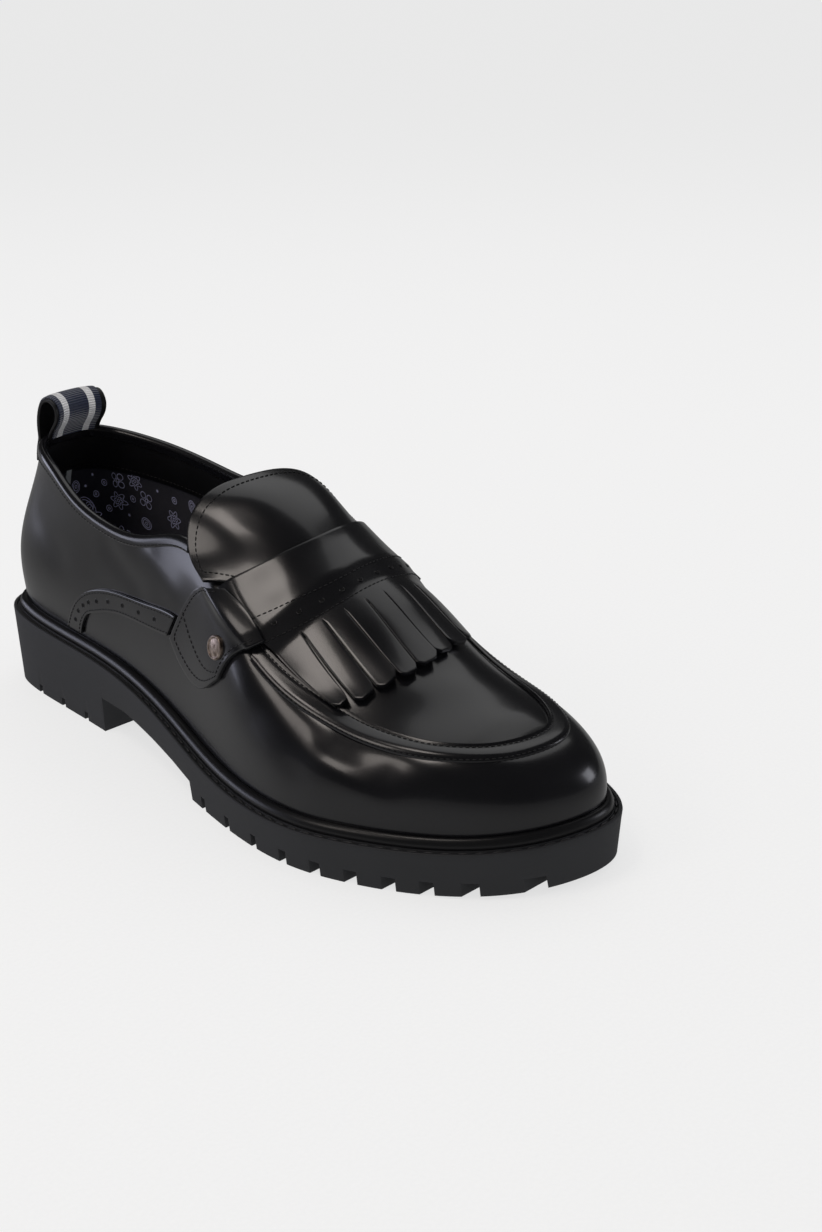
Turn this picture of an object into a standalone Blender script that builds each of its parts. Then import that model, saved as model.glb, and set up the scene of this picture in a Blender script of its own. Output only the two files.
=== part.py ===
"""Kiltie loafer, the wearer's right shoe, as separate solids.

The shoe is drawn in its own axes, in millimetres: s runs from the back of the heel to the
toe, w to the lateral (outer) side, z up from the floor. at() turns them into the model's
metres, with the toe at -Y and the lateral side at -X.
"""
import bmesh
import bpy
import numpy as np

MM = 0.001

# Driving sizes, mm
LENGTH = 300.0          # outsole, heel to toe
WALL = 1.8              # leather and lining of the upper
GAP = 0.3               # between neighbouring pieces
RIM_INSET = 5.8         # from the sole's edge to the foot of the upper
RIM_HEIGHT = 3.8        # of the raised rim above the sole's ledge
RIM_TOP_INSETS = (3.3, 3.6, 4.3)    # of its outer face at foot, shoulder and top
RIM_SHOULDER = 1.0      # the outer face rounds over this far below its top
LEDGE_BEVEL = (0.3, 1.0)            # of the ledge's edge: inset, height
SOLE_TAPER = 1.5        # the tread's edge lies inside the ledge's edge
TOE_SPRING = 3.0
TOE_SPRING_START = 240.0
LUG_DEPTH = 5.0
HEEL_LUG_DEPTH = 3.5
BREAST = 82.0           # front face of the heel
TREAD_START = 154.5     # rear edge of the forefoot tread
INSOLE_THICKNESS = 3.0
INSOLE_SIDE_GAP = 0.5
INSOLE_LIFT = 0.4       # over the sole
CUTTER_REACH = 80.0     # the sole's cutters run this far to each side
CUTTER_START = -5.0     # and start under the floor
SHEET = 1.6             # tongue and strap leather
BAND = 1.2              # perforated band on each quarter
ARCH_SKEW = 0.2         # the instep's ridge leans to the medial side

# One row for each section of the last, heel to toe. The sole's edge has the same station on
# both sides; "top" is the collar back to the throat, and then the line of the apron seam.
# Columns: sole station, lateral and medial half-width, top station, lateral and medial top
# half-width, lateral and medial top height, lateral and medial bulge of the wall, roundness
# of the wall from 0 (straight) to 1 (quarter ellipse), rise of the instep over the top line,
# and how far the instep's middle lies in front of its sides.
SECTIONS = (
    (1.8, 13.0, -13.5, 20.8, 6.3, -7.3, 102.0, 102.5, 4.5, 5.0, 0.10, 0.0, 0.0),
    (8.0, 22.3, -22.8, 23.3, 11.5, -13.0, 101.3, 102.5, 4.5, 5.0, 0.10, 0.0, 0.0),
    (20.0, 27.6, -29.5, 30.0, 16.5, -18.6, 99.8, 101.5, 4.0, 4.5, 0.10, 0.0, 0.0),
    (40.0, 30.8, -34.3, 44.0, 21.7, -24.0, 96.7, 99.5, 3.0, 3.5, 0.12, 0.0, 0.0),
    (65.0, 33.4, -36.6, 63.5, 26.5, -28.2, 89.4, 96.5, 1.5, 2.0, 0.18, 0.0, 0.0),
    (95.0, 37.3, -35.6, 88.0, 29.6, -30.0, 84.3, 92.5, 0.0, 0.5, 0.25, 0.0, 0.0),
    (125.0, 43.2, -34.6, 113.0, 30.2, -30.0, 85.2, 92.0, -0.5, 1.0, 0.32, 0.0, 0.0),
    (150.0, 49.3, -37.0, 138.0, 29.8, -29.4, 88.4, 95.0, 0.0, 1.5, 0.42, 4.0, 20.0),
    (175.0, 55.3, -42.8, 166.0, 37.5, -35.0, 73.0, 76.0, 0.5, 1.5, 0.60, 13.5, 12.0),
    (200.0, 59.3, -48.8, 194.0, 41.0, -38.5, 57.0, 59.0, 1.0, 1.0, 0.75, 19.0, 7.0),
    (222.0, 59.0, -51.6, 216.0, 39.0, -35.5, 49.5, 50.5, 1.5, 1.5, 0.85, 16.5, 4.0),
    (243.0, 53.4, -50.0, 234.0, 37.5, -32.0, 46.5, 46.5, 2.0, 2.0, 0.90, 12.0, 3.0),
    (262.0, 45.3, -43.5, 250.0, 34.0, -28.0, 45.4, 45.4, 2.0, 2.0, 0.92, 8.0, 2.0),
    (279.0, 34.5, -35.0, 263.0, 27.5, -22.8, 44.9, 44.9, 2.0, 2.0, 0.95, 5.0, 1.2),
    (291.0, 21.5, -26.5, 272.0, 18.0, -16.5, 44.4, 44.4, 2.0, 2.0, 0.95, 2.0, 0.4),
    (298.0, 6.5, -17.0, 276.5, 7.0, -9.5, 44.1, 44.1, 2.0, 2.0, 0.95, 0.3, 0.0),
)
# Middle of the heel and of the toe: sole station and w, top station, w and height, bulge,
# roundness.
HEEL_MIDDLE = (0.0, -0.5, 20.0, -0.5, 102.2, 4.5, 0.10)
TOE_MIDDLE = (300.0, -5.5, 277.6, -1.5, 44.0, 2.0, 0.95)

# Height of the sole's ledge along the shoe: station, height
LEDGE = (
    (0.0, 33.0), (40.0, 30.4), (82.0, 29.2), (130.0, 23.6), (165.0, 17.0),
    (200.0, 14.7), (240.0, 15.3), (275.0, 16.8), (300.0, 19.0),
)
# Underside of the waist, from the heel's breast to the tread: station, height
WAIST = ((83.0, 14.7), (102.0, 15.0), (124.0, 12.5), (140.0, 10.2), (TREAD_START - 0.8, 7.5))
# Grooves across the tread: station, width
GROOVES = (
    (163.7, 2.8), (181.3, 2.8), (198.3, 2.9), (213.8, 3.4), (227.8, 4.1),
    (240.9, 4.6), (253.7, 4.6), (265.5, 4.4), (277.5, 4.8), (291.5, 4.0),
)
HEEL_GROOVES = ((9.0, 2.6), (31.5, 2.6), (50.0, 2.6), (68.0, 2.6))
# Channel inside the edge lugs: its sections, insets from the edge and depth
CHANNEL_SECTIONS = (9.0, 16.0)
CHANNEL_OUTER = 12.0
CHANNEL_INNER = 15.5
CHANNEL_DEPTH = 4.4

# Places on the upper are given as (section, share): the section's number along the shoe, and
# the share of the wall's height, 0 at the foot and 1 at the top line. A share from 1 to 2
# crosses the instep from the lateral to the medial top line.
SECTION_COUNT = len(SECTIONS)
TOE = SECTION_COUNT + 1.0
ROUND = 2.0 * TOE               # section number of a whole turn
THROAT = 8.0                    # section where the instep starts
FORE = 10.0                     # section where the open apron starts
WALL_ROWS = (0.0, 0.12, 0.3, 0.5, 0.68, 0.84, 1.0)  # shares of the wall's rows of points
APRON_CELLS = 8                 # across the instep

# Rear edge of the tongue from its lateral to its medial corner: s, w, z
TONGUE_EDGE = (
    (154.5, 38.2, 82.0), (147.0, 36.2, 85.5), (142.0, 34.0, 90.2), (139.2, 31.2, 96.0),
    (137.8, 26.5, 102.0), (138.0, 18.0, 106.8), (139.3, 8.0, 108.8), (140.5, -2.0, 109.3),
    (141.6, -12.0, 108.6), (143.0, -20.0, 106.2), (144.8, -26.5, 101.5),
    (147.0, -31.0, 95.5), (150.0, -34.2, 89.5), (154.5, -36.2, 84.5),
)
# Tongue under the strap: section, share across at its two sides
TONGUE_UNDER = ((8.8, 0.075), (9.08, 0.08), (9.35, 0.10))
TONGUE_HUMP = 3.0               # rise of its middle between edge and strap
TONGUE_LIFT = 0.8               # over the instep there
TONGUE_COLUMNS = 25
TONGUE_FREE_ROWS = 7

# Strap and fringe, one sheet over the instep
STRAP_TOP = 8.75                # section of its rear edge
STRAP_SIDES = (1.01, 1.982)     # shares of its two ends, along the rear edge
ROOT_SIDES = (1.055, 1.945)     # the same where the fringe starts
ROOT_END_SECTION = 9.8          # root of the first and last strip, at the sheet's sides
# One row for each slit: share across at its root and at its end, section of its root
SLITS = (
    (1.17, 1.125, 9.86), (1.26, 1.22, 9.93), (1.35, 1.335, 10.0), (1.45, 1.465, 10.04),
    (1.55, 1.60, 10.07), (1.66, 1.735, 10.07), (1.77, 1.85, 10.02),
)
# One row for each strip of the fringe: section of its tip
STRIP_TIPS = (11.1, 11.3, 11.46, 11.56, 11.58, 11.48, 11.28, 11.02)
TIP_SIDES = (1.075, 1.925)      # shares of the sheet's sides at the fringe's tips
SLIT_WIDTH = 0.008              # share across
TIP_POINT = 0.22                # a strip's corners lie this many sections behind its tip
STRAP_LIFT = 2.8                # over the upper, with the tongue between
FRINGE_LIFT = 0.6               # over the apron
LIFT_DROP = (9.5, 9.85)         # sections between which the sheet comes down
TIP_LIFT = 0.5                  # further rise at the tips

# Tab over each end of the strap and down the wall: section, share
TAB_TOP = (8.82, 1.025)
TAB_FRONT = (9.66, 1.055)
TAB_LOWER_EDGE = ((7.45, 0.41), (7.7, 0.32), (8.08, 0.28), (8.5, 0.33), (8.93, 0.48))
TAB_THICKNESS = 1.8
# One row for each row of its points: share of the way down, lift of its underside
TAB_ROWS = ((0.0, 4.8), (0.07, 4.8), (0.14, 4.0), (0.28, 0.4), (0.5, 0.3), (0.75, 0.3), (1.0, 0.3))
STUD_PLACE = (9.0, 0.64)
STUD_RADIUS = 4.3
STUD_HEIGHT = 1.6
STUD_SEAT = 0.6                 # over the tab's flat face
STUD_RINGS = ((1.0, 0.0), (1.0, 0.9), (0.86, 1.4))  # share of the radius, height

# Perforated band of each quarter: outer and inner edge, section and share
BAND_OUTER = (
    (4.52, 0.075), (4.76, 0.21), (5.08, 0.34), (5.46, 0.44), (6.1, 0.52), (6.96, 0.55),
    (7.58, 0.53),
)
BAND_INNER = (
    (4.96, 0.075), (5.08, 0.17), (5.22, 0.24), (5.42, 0.28), (5.92, 0.36), (6.58, 0.40),
    (7.30, 0.41),
)

SEAM_ENDS = 9.76                # section where the apron seam meets the tab
SEAM_HALF = 3.2                 # half the seam roll's width
SEAM_HEIGHT = 2.0
SEAM_EDGES = (0.9, 1.3)         # thickness of the roll at its outer and inner edge
SEAM_SEAT = 0.5                 # under its crown and its inner edge
BINDING_ENDS = 7.95             # section where the collar binding meets the tongue
BINDING_DEPTH = 3.6
BINDING_THICKNESS = 0.8
BINDING_INNER_GAP = 0.55        # inside the wall, which leans there
BINDING_SHOULDER = 0.6          # the binding's sides end this far over the wall's edge
BINDING_CROWN = 1.8             # and its middle this far
LOOP_HALF = 1.9                 # half-width of the pull loop, in sections
LOOP_TAIL = ((0.86, 0.4), (0.93, 1.3), (0.985, 1.5))    # on the wall: share, lift
# The loop's path over the collar: outwards from the wall's edge, up from it
LOOP_PATH = (
    (2.2, 2.0), (3.0, 6.0), (3.2, 11.0), (1.8, 15.4), (-2.0, 17.2), (-5.6, 15.6),
    (-6.5, 11.6), (-5.0, 7.6), (-3.0, 5.0), (-1.6, 3.7),
)
LOOP_THICKNESS = 1.8

MATERIALS = {
    # name: colour, roughness, metallic
    "polished leather": ((0.012, 0.012, 0.014), 0.18, 0.0),
    "sole rubber": ((0.028, 0.030, 0.034), 0.65, 0.0),
    "rim rubber": ((0.010, 0.010, 0.011), 0.35, 0.0),
    "insole": ((0.030, 0.030, 0.045), 0.80, 0.0),
    "ribbon": ((0.010, 0.022, 0.075), 0.80, 0.0),
    "pale bronze": ((0.62, 0.50, 0.42), 0.35, 1.0),
}


def spline(knots, values, period=None):
    """Cubic spline through the values; closed where a period is given."""
    t = np.asarray(knots, float)
    v = np.asarray(values, float).reshape(len(t), -1)
    count = len(t)
    if period:
        h = np.diff(np.append(t, t[0] + period))
    else:
        h = np.append(np.diff(t), 1.0)
    system = np.eye(count)
    right = np.zeros_like(v)
    inner = range(count) if period else range(1, count - 1)
    for i in inner:
        before, after = (i - 1) % count, (i + 1) % count
        system[i] = 0.0
        system[i, before] += h[before]
        system[i, i] += 2 * (h[before] + h[i])
        system[i, after] += h[i]
        right[i] = 6 * ((v[after] - v[i]) / h[i] - (v[i] - v[before]) / h[before])
    bend = np.linalg.solve(system, right)

    def value(x):
        x = np.asarray(x, float)
        x = np.mod(x - t[0], period) + t[0] if period else np.clip(x, t[0], t[-1])
        i = np.clip(np.searchsorted(t, x, side="right") - 1, 0, count - 1 - (not period))
        j = (i + 1) % count
        a = (x - t[i])[..., None]
        step = h[i][..., None]
        c = step - a
        cubic = (bend[i] * c ** 3 + bend[j] * a ** 3) / (6 * step)
        return (cubic + (v[i] / step - bend[i] * step / 6) * c
                + (v[j] / step - bend[j] * step / 6) * a)

    return value


def closed_rows():
    """Rows round the shoe: heel, lateral sections, toe, medial sections backwards."""
    rows = [HEEL_MIDDLE]
    for (s, lat, _, top, top_lat, _, z_lat, _, bulge, _, rnd, _, _) in SECTIONS:
        rows.append((s, lat, top, top_lat, z_lat, bulge, rnd))
    rows.append(TOE_MIDDLE)
    for (s, _, med, top, _, top_med, _, z_med, _, bulge, rnd, _, _) in reversed(SECTIONS):
        rows.append((s, med, top, top_med, z_med, bulge, rnd))
    return np.array(rows)


ROWS = closed_rows()
CHORDS = np.hypot(*np.diff(np.vstack([ROWS, ROWS[:1]])[:, :2], axis=0).T)
ARC = np.concatenate([[0.0], np.cumsum(CHORDS)])
ROW_SPLINE = spline(ARC[:-1], ROWS, ARC[-1])
LEDGE_SPLINE = spline(*zip(*LEDGE))
INSTEP_SPLINE = spline(np.arange(1, SECTION_COUNT + 2),
                       [(row[11], row[12]) for row in SECTIONS] + [(0.0, 0.0)])


def section(u):
    """The interpolated table row at section number u."""
    return ROW_SPLINE(np.interp(np.mod(u, ROUND), np.arange(ROUND + 1), ARC))


def ring_sections(per_section):
    return np.arange(0, ROUND, 1.0 / per_section)


# The model stands with the middle of the sole's width over the origin
EDGE_COLUMNS = ring_sections(3)
EDGE_WIDTHS = section(EDGE_COLUMNS)[:, 1]
MIDDLE_W = (EDGE_WIDTHS.max() + EDGE_WIDTHS.min()) / 2


def at(points):
    """Shoe millimetres to the model's metres."""
    p = np.asarray(points, float)
    return np.stack([MIDDLE_W - p[..., 1], LENGTH / 2 - p[..., 0], p[..., 2]], -1) * MM


def ledge(s):
    return LEDGE_SPLINE(s)[..., 0]


def outward(u):
    """Plan direction square to the sole's edge, away from the shoe."""
    step = 0.02
    along = section(np.asarray(u) + step)[..., :2] - section(np.asarray(u) - step)[..., :2]
    square = np.stack([-along[..., 1], along[..., 0]], -1)
    return square / np.linalg.norm(square, axis=-1, keepdims=True)


def edge(u, inset, rise=0.0):
    """Point inside the sole's edge, above the ledge."""
    row = section(u)
    plan = row[..., :2] - outward(u) * np.asarray(inset)[..., None]
    z = ledge(row[..., 0]) + rise
    return np.concatenate([plan, z[..., None]], -1)


def wall(u, share):
    """Side of the upper from its foot (0) to the top line (1)."""
    u, share = np.broadcast_arrays(np.asarray(u, float), np.asarray(share, float))
    row = section(u)
    foot = edge(u, RIM_INSET, GAP)
    top = row[..., 2:5]
    rnd = np.clip(row[..., 6], 0, 1)
    turn = share * np.pi / 2
    rise = np.sin(turn) * rnd + share * (1 - rnd)
    reach = np.cos(turn) * rnd + (1 - share) * (1 - rnd)
    bulge = row[..., 5] * np.sin(np.pi * np.clip(share, 0, 1) ** 0.75) ** 2
    plan = top[..., :2] + (foot[..., :2] - top[..., :2]) * reach[..., None]
    plan = plan + outward(u) * bulge[..., None]
    z = foot[..., 2] + (top[..., 2] - foot[..., 2]) * rise
    return np.concatenate([plan, z[..., None]], -1)


def instep(u, across):
    """Top of the upper between the lateral (0) and medial (1) top lines."""
    lateral = section(u)[..., 2:5]
    medial = section(ROUND - u)[..., 2:5]
    across = np.asarray(across, float)
    point = lateral + (medial - lateral) * across[..., None]
    rise, lead = np.moveaxis(INSTEP_SPLINE(u), -1, 0)
    leaned = across - ARCH_SKEW * across * (1 - across)
    point[..., 0] += lead * 4 * across * (1 - across)
    point[..., 2] += rise * 4 * leaned * (1 - leaned)
    return point


def instep_height(points):
    """Height of the instep under or over each point."""
    u = np.linspace(THROAT + 1, TOE, 161)[:, None]
    grid = instep(u + np.zeros(81), np.linspace(0, 1, 81) + np.zeros(u.shape)).reshape(-1, 3)
    near = [np.argmin(np.sum((grid[:, :2] - point[:2]) ** 2, axis=1)) for point in points]
    return grid[near, 2]


def skin(u, share):
    """Outer surface of the upper; shares over 1 lie on the instep."""
    u, share = np.broadcast_arrays(np.asarray(u, float), np.asarray(share, float))
    side = wall(u, np.minimum(share, 1.0))
    medial = u > TOE
    over = np.maximum(share - 1.0, 0.0)
    top = instep(np.where(medial, ROUND - u, u), np.where(medial, 1.0 - over, over))
    return np.where((share > 1.0)[..., None], top, side)


def skin_normal(u, share):
    step = 0.01
    along = skin(u + step, share) - skin(u - step, share)
    up = skin(u, share + step) - skin(u, share - step)
    cross = np.cross(up, along)
    cross /= np.linalg.norm(cross, axis=-1, keepdims=True)
    return cross


def over_skin(u, share, lift):
    u, share = np.broadcast_arrays(np.asarray(u, float), np.asarray(share, float))
    return skin(u, share) + skin_normal(u, share) * np.asarray(lift)[..., None]


def material(name):
    mat = bpy.data.materials.get(name)
    if mat is None:
        colour, roughness, metallic = MATERIALS[name]
        mat = bpy.data.materials.new(name)
        mat.use_nodes = True
        shader = mat.node_tree.nodes["Principled BSDF"]
        shader.inputs["Base Color"].default_value = (*colour, 1.0)
        shader.inputs["Roughness"].default_value = roughness
        shader.inputs["Metallic"].default_value = metallic
    return mat


def solid(name, points, faces, material_name):
    """One named object from points in shoe millimetres, its faces turned outwards."""
    mesh = bpy.data.meshes.new(name)
    mesh.from_pydata(at(points).tolist(), [], faces)
    bm = bmesh.new()
    bm.from_mesh(mesh)
    bmesh.ops.triangulate(bm, faces=bm.faces)
    bmesh.ops.recalc_face_normals(bm, faces=bm.faces)
    bm.to_mesh(mesh)
    bm.free()
    mesh.materials.append(material(material_name))
    mesh.shade_smooth()
    mesh.set_sharp_from_angle(angle=0.6)
    obj = bpy.data.objects.new(name, mesh)
    bpy.context.scene.collection.objects.link(obj)
    return obj


def thick(front, back, faces):
    """Close a sheet: its faces, the same faces on the back, and a strip on each free edge."""
    count = len(front)
    used = {}
    for face in faces:
        for a, b in zip(face, face[1:] + face[:1]):
            used[(a, b)] = used.get((a, b), 0) + 1
    closed = list(faces) + [tuple(i + count for i in reversed(face)) for face in faces]
    for (a, b) in used:
        if (b, a) not in used:
            closed.append((b, a, a + count, b + count))
    return np.vstack([front, back]), closed


def grid_faces(rows, columns, ring=False):
    """Quads of a grid stored row after row; ring joins the last column to the first."""
    faces = []
    for i in range(rows - 1):
        for j in range(columns if ring else columns - 1):
            k = (j + 1) % columns
            faces.append((i * columns + j, i * columns + k,
                          (i + 1) * columns + k, (i + 1) * columns + j))
    return faces


def across_faces(count, start=0, flip=False):
    """Fill a ring of an even count, heel point first, with strips from side to side."""
    half = count // 2
    faces = []
    for i in range(half):
        a, b = start + i, start + i + 1
        c, d = start + (count - i - 1) % count, start + (count - i) % count
        face = tuple(dict.fromkeys((a, b, c, d)))
        faces.append(tuple(reversed(face)) if flip else face)
    return faces


def swept_ring(profiles):
    """Join profiles (lists of points, one for each place round the ring) into a closed ring."""
    points = np.stack(profiles, 1)
    count, sides = points.shape[:2]
    flat = points.reshape(-1, 3)
    faces = []
    for i in range(count):
        k = (i + 1) % count
        for j in range(sides):
            m = (j + 1) % sides
            faces.append((i * sides + j, k * sides + j, k * sides + m, i * sides + m))
    return flat, faces


def swept_run(profiles):
    """The same for an open run, with a flat cap at each end."""
    points = np.stack(profiles, 1)
    count, sides = points.shape[:2]
    flat = points.reshape(-1, 3)
    faces = []
    for i in range(count - 1):
        for j in range(sides):
            m = (j + 1) % sides
            faces.append((i * sides + j, (i + 1) * sides + j, (i + 1) * sides + m, i * sides + m))
    faces.append(tuple(reversed(range(sides))))
    faces.append(tuple((count - 1) * sides + j for j in range(sides)))
    return flat, faces


def box(s0, s1, w0, w1, z0, z1):
    points = [(s, w, z) for s in (s0, s1) for w in (w0, w1) for z in (z0, z1)]
    faces = [(0, 1, 3, 2), (4, 6, 7, 5), (0, 4, 5, 1), (2, 3, 7, 6), (0, 2, 6, 4), (1, 5, 7, 3)]
    return points, faces


def joined(shapes):
    points, faces = [], []
    for shape_points, shape_faces in shapes:
        offset = len(points)
        points.extend(tuple(p) for p in shape_points)
        faces.extend(tuple(i + offset for i in face) for face in shape_faces)
    return np.array(points), faces


def tread_height(s):
    """Height of the tread's surface: flat, then rising at the toe."""
    rise = np.clip((s - TOE_SPRING_START) / (LENGTH - TOE_SPRING_START), 0, 1)
    return TOE_SPRING * rise ** 2


def cut(target, name, points, faces):
    cutter = solid(name, points, faces, "sole rubber")
    cutter.hide_render = True
    cutter.display_type = "WIRE"
    boolean = target.modifiers.new(name, "BOOLEAN")
    boolean.operation = "DIFFERENCE"
    boolean.object = cutter


def make_outsole():
    """Moulded unit sole: ledge, side wall, heel, waist and lugs."""
    u = EDGE_COLUMNS
    count = len(u)
    top = edge(u, 0.0)
    bevel, depth = LEDGE_BEVEL
    lip = edge(u, bevel, -depth)
    foot = edge(u, SOLE_TAPER)
    foot[:, 2] = tread_height(foot[:, 0])
    points = np.vstack([top, lip, foot])
    faces = grid_faces(3, count, ring=True)
    faces += across_faces(count, 0, flip=True) + across_faces(count, 2 * count)
    sole = solid("outsole", points, faces, "sole rubber")

    wide, below = CUTTER_REACH, CUTTER_START
    waist = [(BREAST, below)] + list(WAIST) + [(TREAD_START, below)]
    lateral = [(s, wide, z) for s, z in waist]
    medial = [(s, -wide, z) for s, z in waist]
    sides = len(waist)
    waist_faces = [(i, (i + 1) % sides, sides + (i + 1) % sides, sides + i)
                   for i in range(sides)]
    waist_faces += [tuple(reversed(range(sides))), tuple(range(sides, 2 * sides))]
    cutters = [(lateral + medial, waist_faces)]
    for s, width in GROOVES:
        depth = LUG_DEPTH + tread_height(s)
        cutters.append(box(s - width / 2, s + width / 2, -wide, wide, below, depth))
    for s, width in HEEL_GROOVES:
        cutters.append(box(s - width / 2, s + width / 2, -wide, wide, below, HEEL_LUG_DEPTH))
    cut(sole, "waist_and_grooves", *joined(cutters))

    lateral = np.arange(*CHANNEL_SECTIONS, 0.5)
    run = np.concatenate([lateral, ROUND - lateral[::-1]])
    profile = []
    for inset, z in ((CHANNEL_OUTER, below), (CHANNEL_OUTER, CHANNEL_DEPTH),
                     (CHANNEL_INNER, CHANNEL_DEPTH), (CHANNEL_INNER, below)):
        line = edge(run, inset)
        line[:, 2] = z + (tread_height(line[:, 0]) if z > 0 else 0.0)
        profile.append(line)
    cut(sole, "tread_channel", *swept_run(profile))


def make_rim():
    """Raised rim of the sole that closes against the upper."""
    u = ring_sections(2)
    shares = np.linspace(0, 0.3, 31)
    inner_low = edge(u, RIM_INSET - GAP, GAP)
    inner_top = []
    for station in u:
        line = wall(station, shares)
        height = line[0, 2] - GAP + RIM_HEIGHT
        point = np.array([np.interp(height, line[:, 2], line[:, k]) for k in range(3)])
        point[:2] += outward(np.array(station)) * GAP
        inner_top.append(point)
    rises = (GAP, RIM_HEIGHT - RIM_SHOULDER, RIM_HEIGHT)
    outer = [edge(u, inset, rise) for inset, rise in zip(RIM_TOP_INSETS, rises)]
    points, faces = swept_ring([inner_low] + outer + [np.array(inner_top)])
    return solid("storm_rim", points, faces, "rim rubber")


def make_insole():
    """Insole inside the foot of the wall, on the sole."""
    u = ring_sections(2)
    inset = RIM_INSET + WALL + INSOLE_SIDE_GAP
    low = edge(u, inset, INSOLE_LIFT)
    high = edge(u, inset, INSOLE_LIFT + INSOLE_THICKNESS)
    count = len(u)
    faces = grid_faces(2, count, ring=True)
    faces += across_faces(count, 0) + across_faces(count, count, flip=True)
    return solid("insole", np.vstack([low, high]), faces, "insole")


def make_upper():
    """Quarters and vamp as one hollow wall, open at the collar, the throat and underneath."""
    columns = ring_sections(2)
    count = len(columns)
    points = [wall(columns, share) for share in WALL_ROWS]
    faces = grid_faces(len(WALL_ROWS), count, ring=True)
    top = (len(WALL_ROWS) - 1) * count
    points = list(np.vstack(points))

    cells = APRON_CELLS
    first = int(THROAT * 2)
    toe = int(TOE * 2)
    rows = []
    for i in range(first, toe - 1):
        inner = instep(np.full(cells - 1, i / 2), np.arange(1, cells) / cells)
        rows.append([top + i] + list(range(len(points), len(points) + cells - 1))
                    + [top + count - i])
        points.extend(inner)
    for a, b in zip(rows, rows[1:]):
        for j in range(cells):
            faces.append((a[j], b[j], b[j + 1], a[j + 1]))
    toe_end = [top + toe + 1, top + toe, top + toe - 1]
    faces.append(tuple(reversed(rows[-1])) + tuple(reversed(toe_end)))
    front = np.array(points)

    normals = np.zeros_like(front)
    for face in faces:
        corners = front[list(face)]
        normal = np.cross(corners, np.roll(corners, -1, axis=0)).sum(0)
        normals[list(face)] += normal
    normals /= np.linalg.norm(normals, axis=1, keepdims=True)
    middle = front.mean(0)
    if np.sum(normals * (front - middle)) < 0:
        normals = -normals
    back = front - normals * WALL
    back[:count, 2] = front[:count, 2]
    points, faces = thick(front, back, faces)
    return solid("upper", points, faces, "polished leather")


def make_apron_seam():
    """Raised roll along the apron, over the line where wall and apron meet."""
    middle = np.arange(FORE, ROUND - FORE + 0.1, 0.5)
    u = np.concatenate([[SEAM_ENDS], middle, [ROUND - SEAM_ENDS]])
    corner = section(u)[:, 2:5]
    along = np.gradient(corner, axis=0)
    inward = np.stack([along[:, 1], -along[:, 0], np.zeros(len(u))], -1)
    inward /= np.linalg.norm(inward, axis=1, keepdims=True)
    up = np.array([0.0, 0.0, 1.0])

    shares = np.linspace(0.4, 1.0, 61)
    side = wall(u[:, None], shares[None, :])
    away = np.linalg.norm(side - corner[:, None], axis=-1)
    down = shares[np.argmin(np.abs(away - SEAM_HALF), axis=1)]
    low = wall(u, down)
    low_normal = skin_normal(u, down)
    mixed = low_normal + up
    mixed /= np.linalg.norm(mixed, axis=1, keepdims=True)

    inner = corner + inward * SEAM_HALF
    inner[:, 2] = instep_height(inner)
    outer_edge, inner_edge = SEAM_EDGES
    profiles = [low + low_normal * GAP, low + low_normal * (GAP + outer_edge),
                corner + mixed * (GAP + SEAM_HEIGHT), inner + up * (GAP + inner_edge),
                inner + up * SEAM_SEAT, corner + mixed * SEAM_SEAT]
    points, faces = swept_run(profiles)
    return solid("apron_seam", points, faces, "polished leather")


def make_binding():
    """Folded binding over the collar's edge."""
    u = np.concatenate([np.arange(-BINDING_ENDS, BINDING_ENDS, 0.5), [BINDING_ENDS]])
    u = np.mod(u, ROUND)
    rows = section(u)
    top = rows[:, 2:5]
    height = top[:, 2] - edge(u, RIM_INSET, GAP)[:, 2]
    share = 1 - BINDING_DEPTH / height
    foot = wall(u, share)
    side = np.concatenate([outward(u), np.zeros((len(u), 1))], 1)
    up = np.array([0.0, 0.0, 1.0])
    out = GAP + BINDING_THICKNESS
    inner_gap = WALL + BINDING_INNER_GAP
    inner = inner_gap + BINDING_THICKNESS
    shoulder = up * BINDING_SHOULDER
    profile = [
        foot + side * GAP, foot + side * out, top + side * out + shoulder,
        top - side * (WALL / 2) + up * BINDING_CROWN, top - side * inner + shoulder,
        foot - side * inner, foot - side * inner_gap, top - side * inner_gap + up * GAP,
        top + side * GAP + up * GAP,
    ]
    points, faces = swept_run(profile)
    return solid("collar_binding", points, faces, "polished leather")


def band_line(table, shares):
    """Points of an edge table, by share of its length in rows."""
    line = spline(np.linspace(0, 1, len(table)), table)
    return line(shares)


def make_band(name, medial):
    """Raised perforated band that curves over the quarter."""
    shares = np.linspace(0, 1, 15)
    outer = band_line(BAND_OUTER, shares)
    inner = band_line(BAND_INNER, shares)
    lanes = [outer, outer + (inner - outer) / 3, outer + (inner - outer) * 2 / 3, inner]
    u = np.stack([lane[:, 0] for lane in lanes])
    share = np.stack([lane[:, 1] for lane in lanes])
    if medial:
        u = ROUND - u
    front = over_skin(u, share, np.full(u.shape, GAP + BAND)).reshape(-1, 3)
    back = over_skin(u, share, np.full(u.shape, GAP)).reshape(-1, 3)
    points, faces = thick(front, back, grid_faces(len(lanes), len(shares)))
    return solid(name, points, faces, "polished leather")


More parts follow.
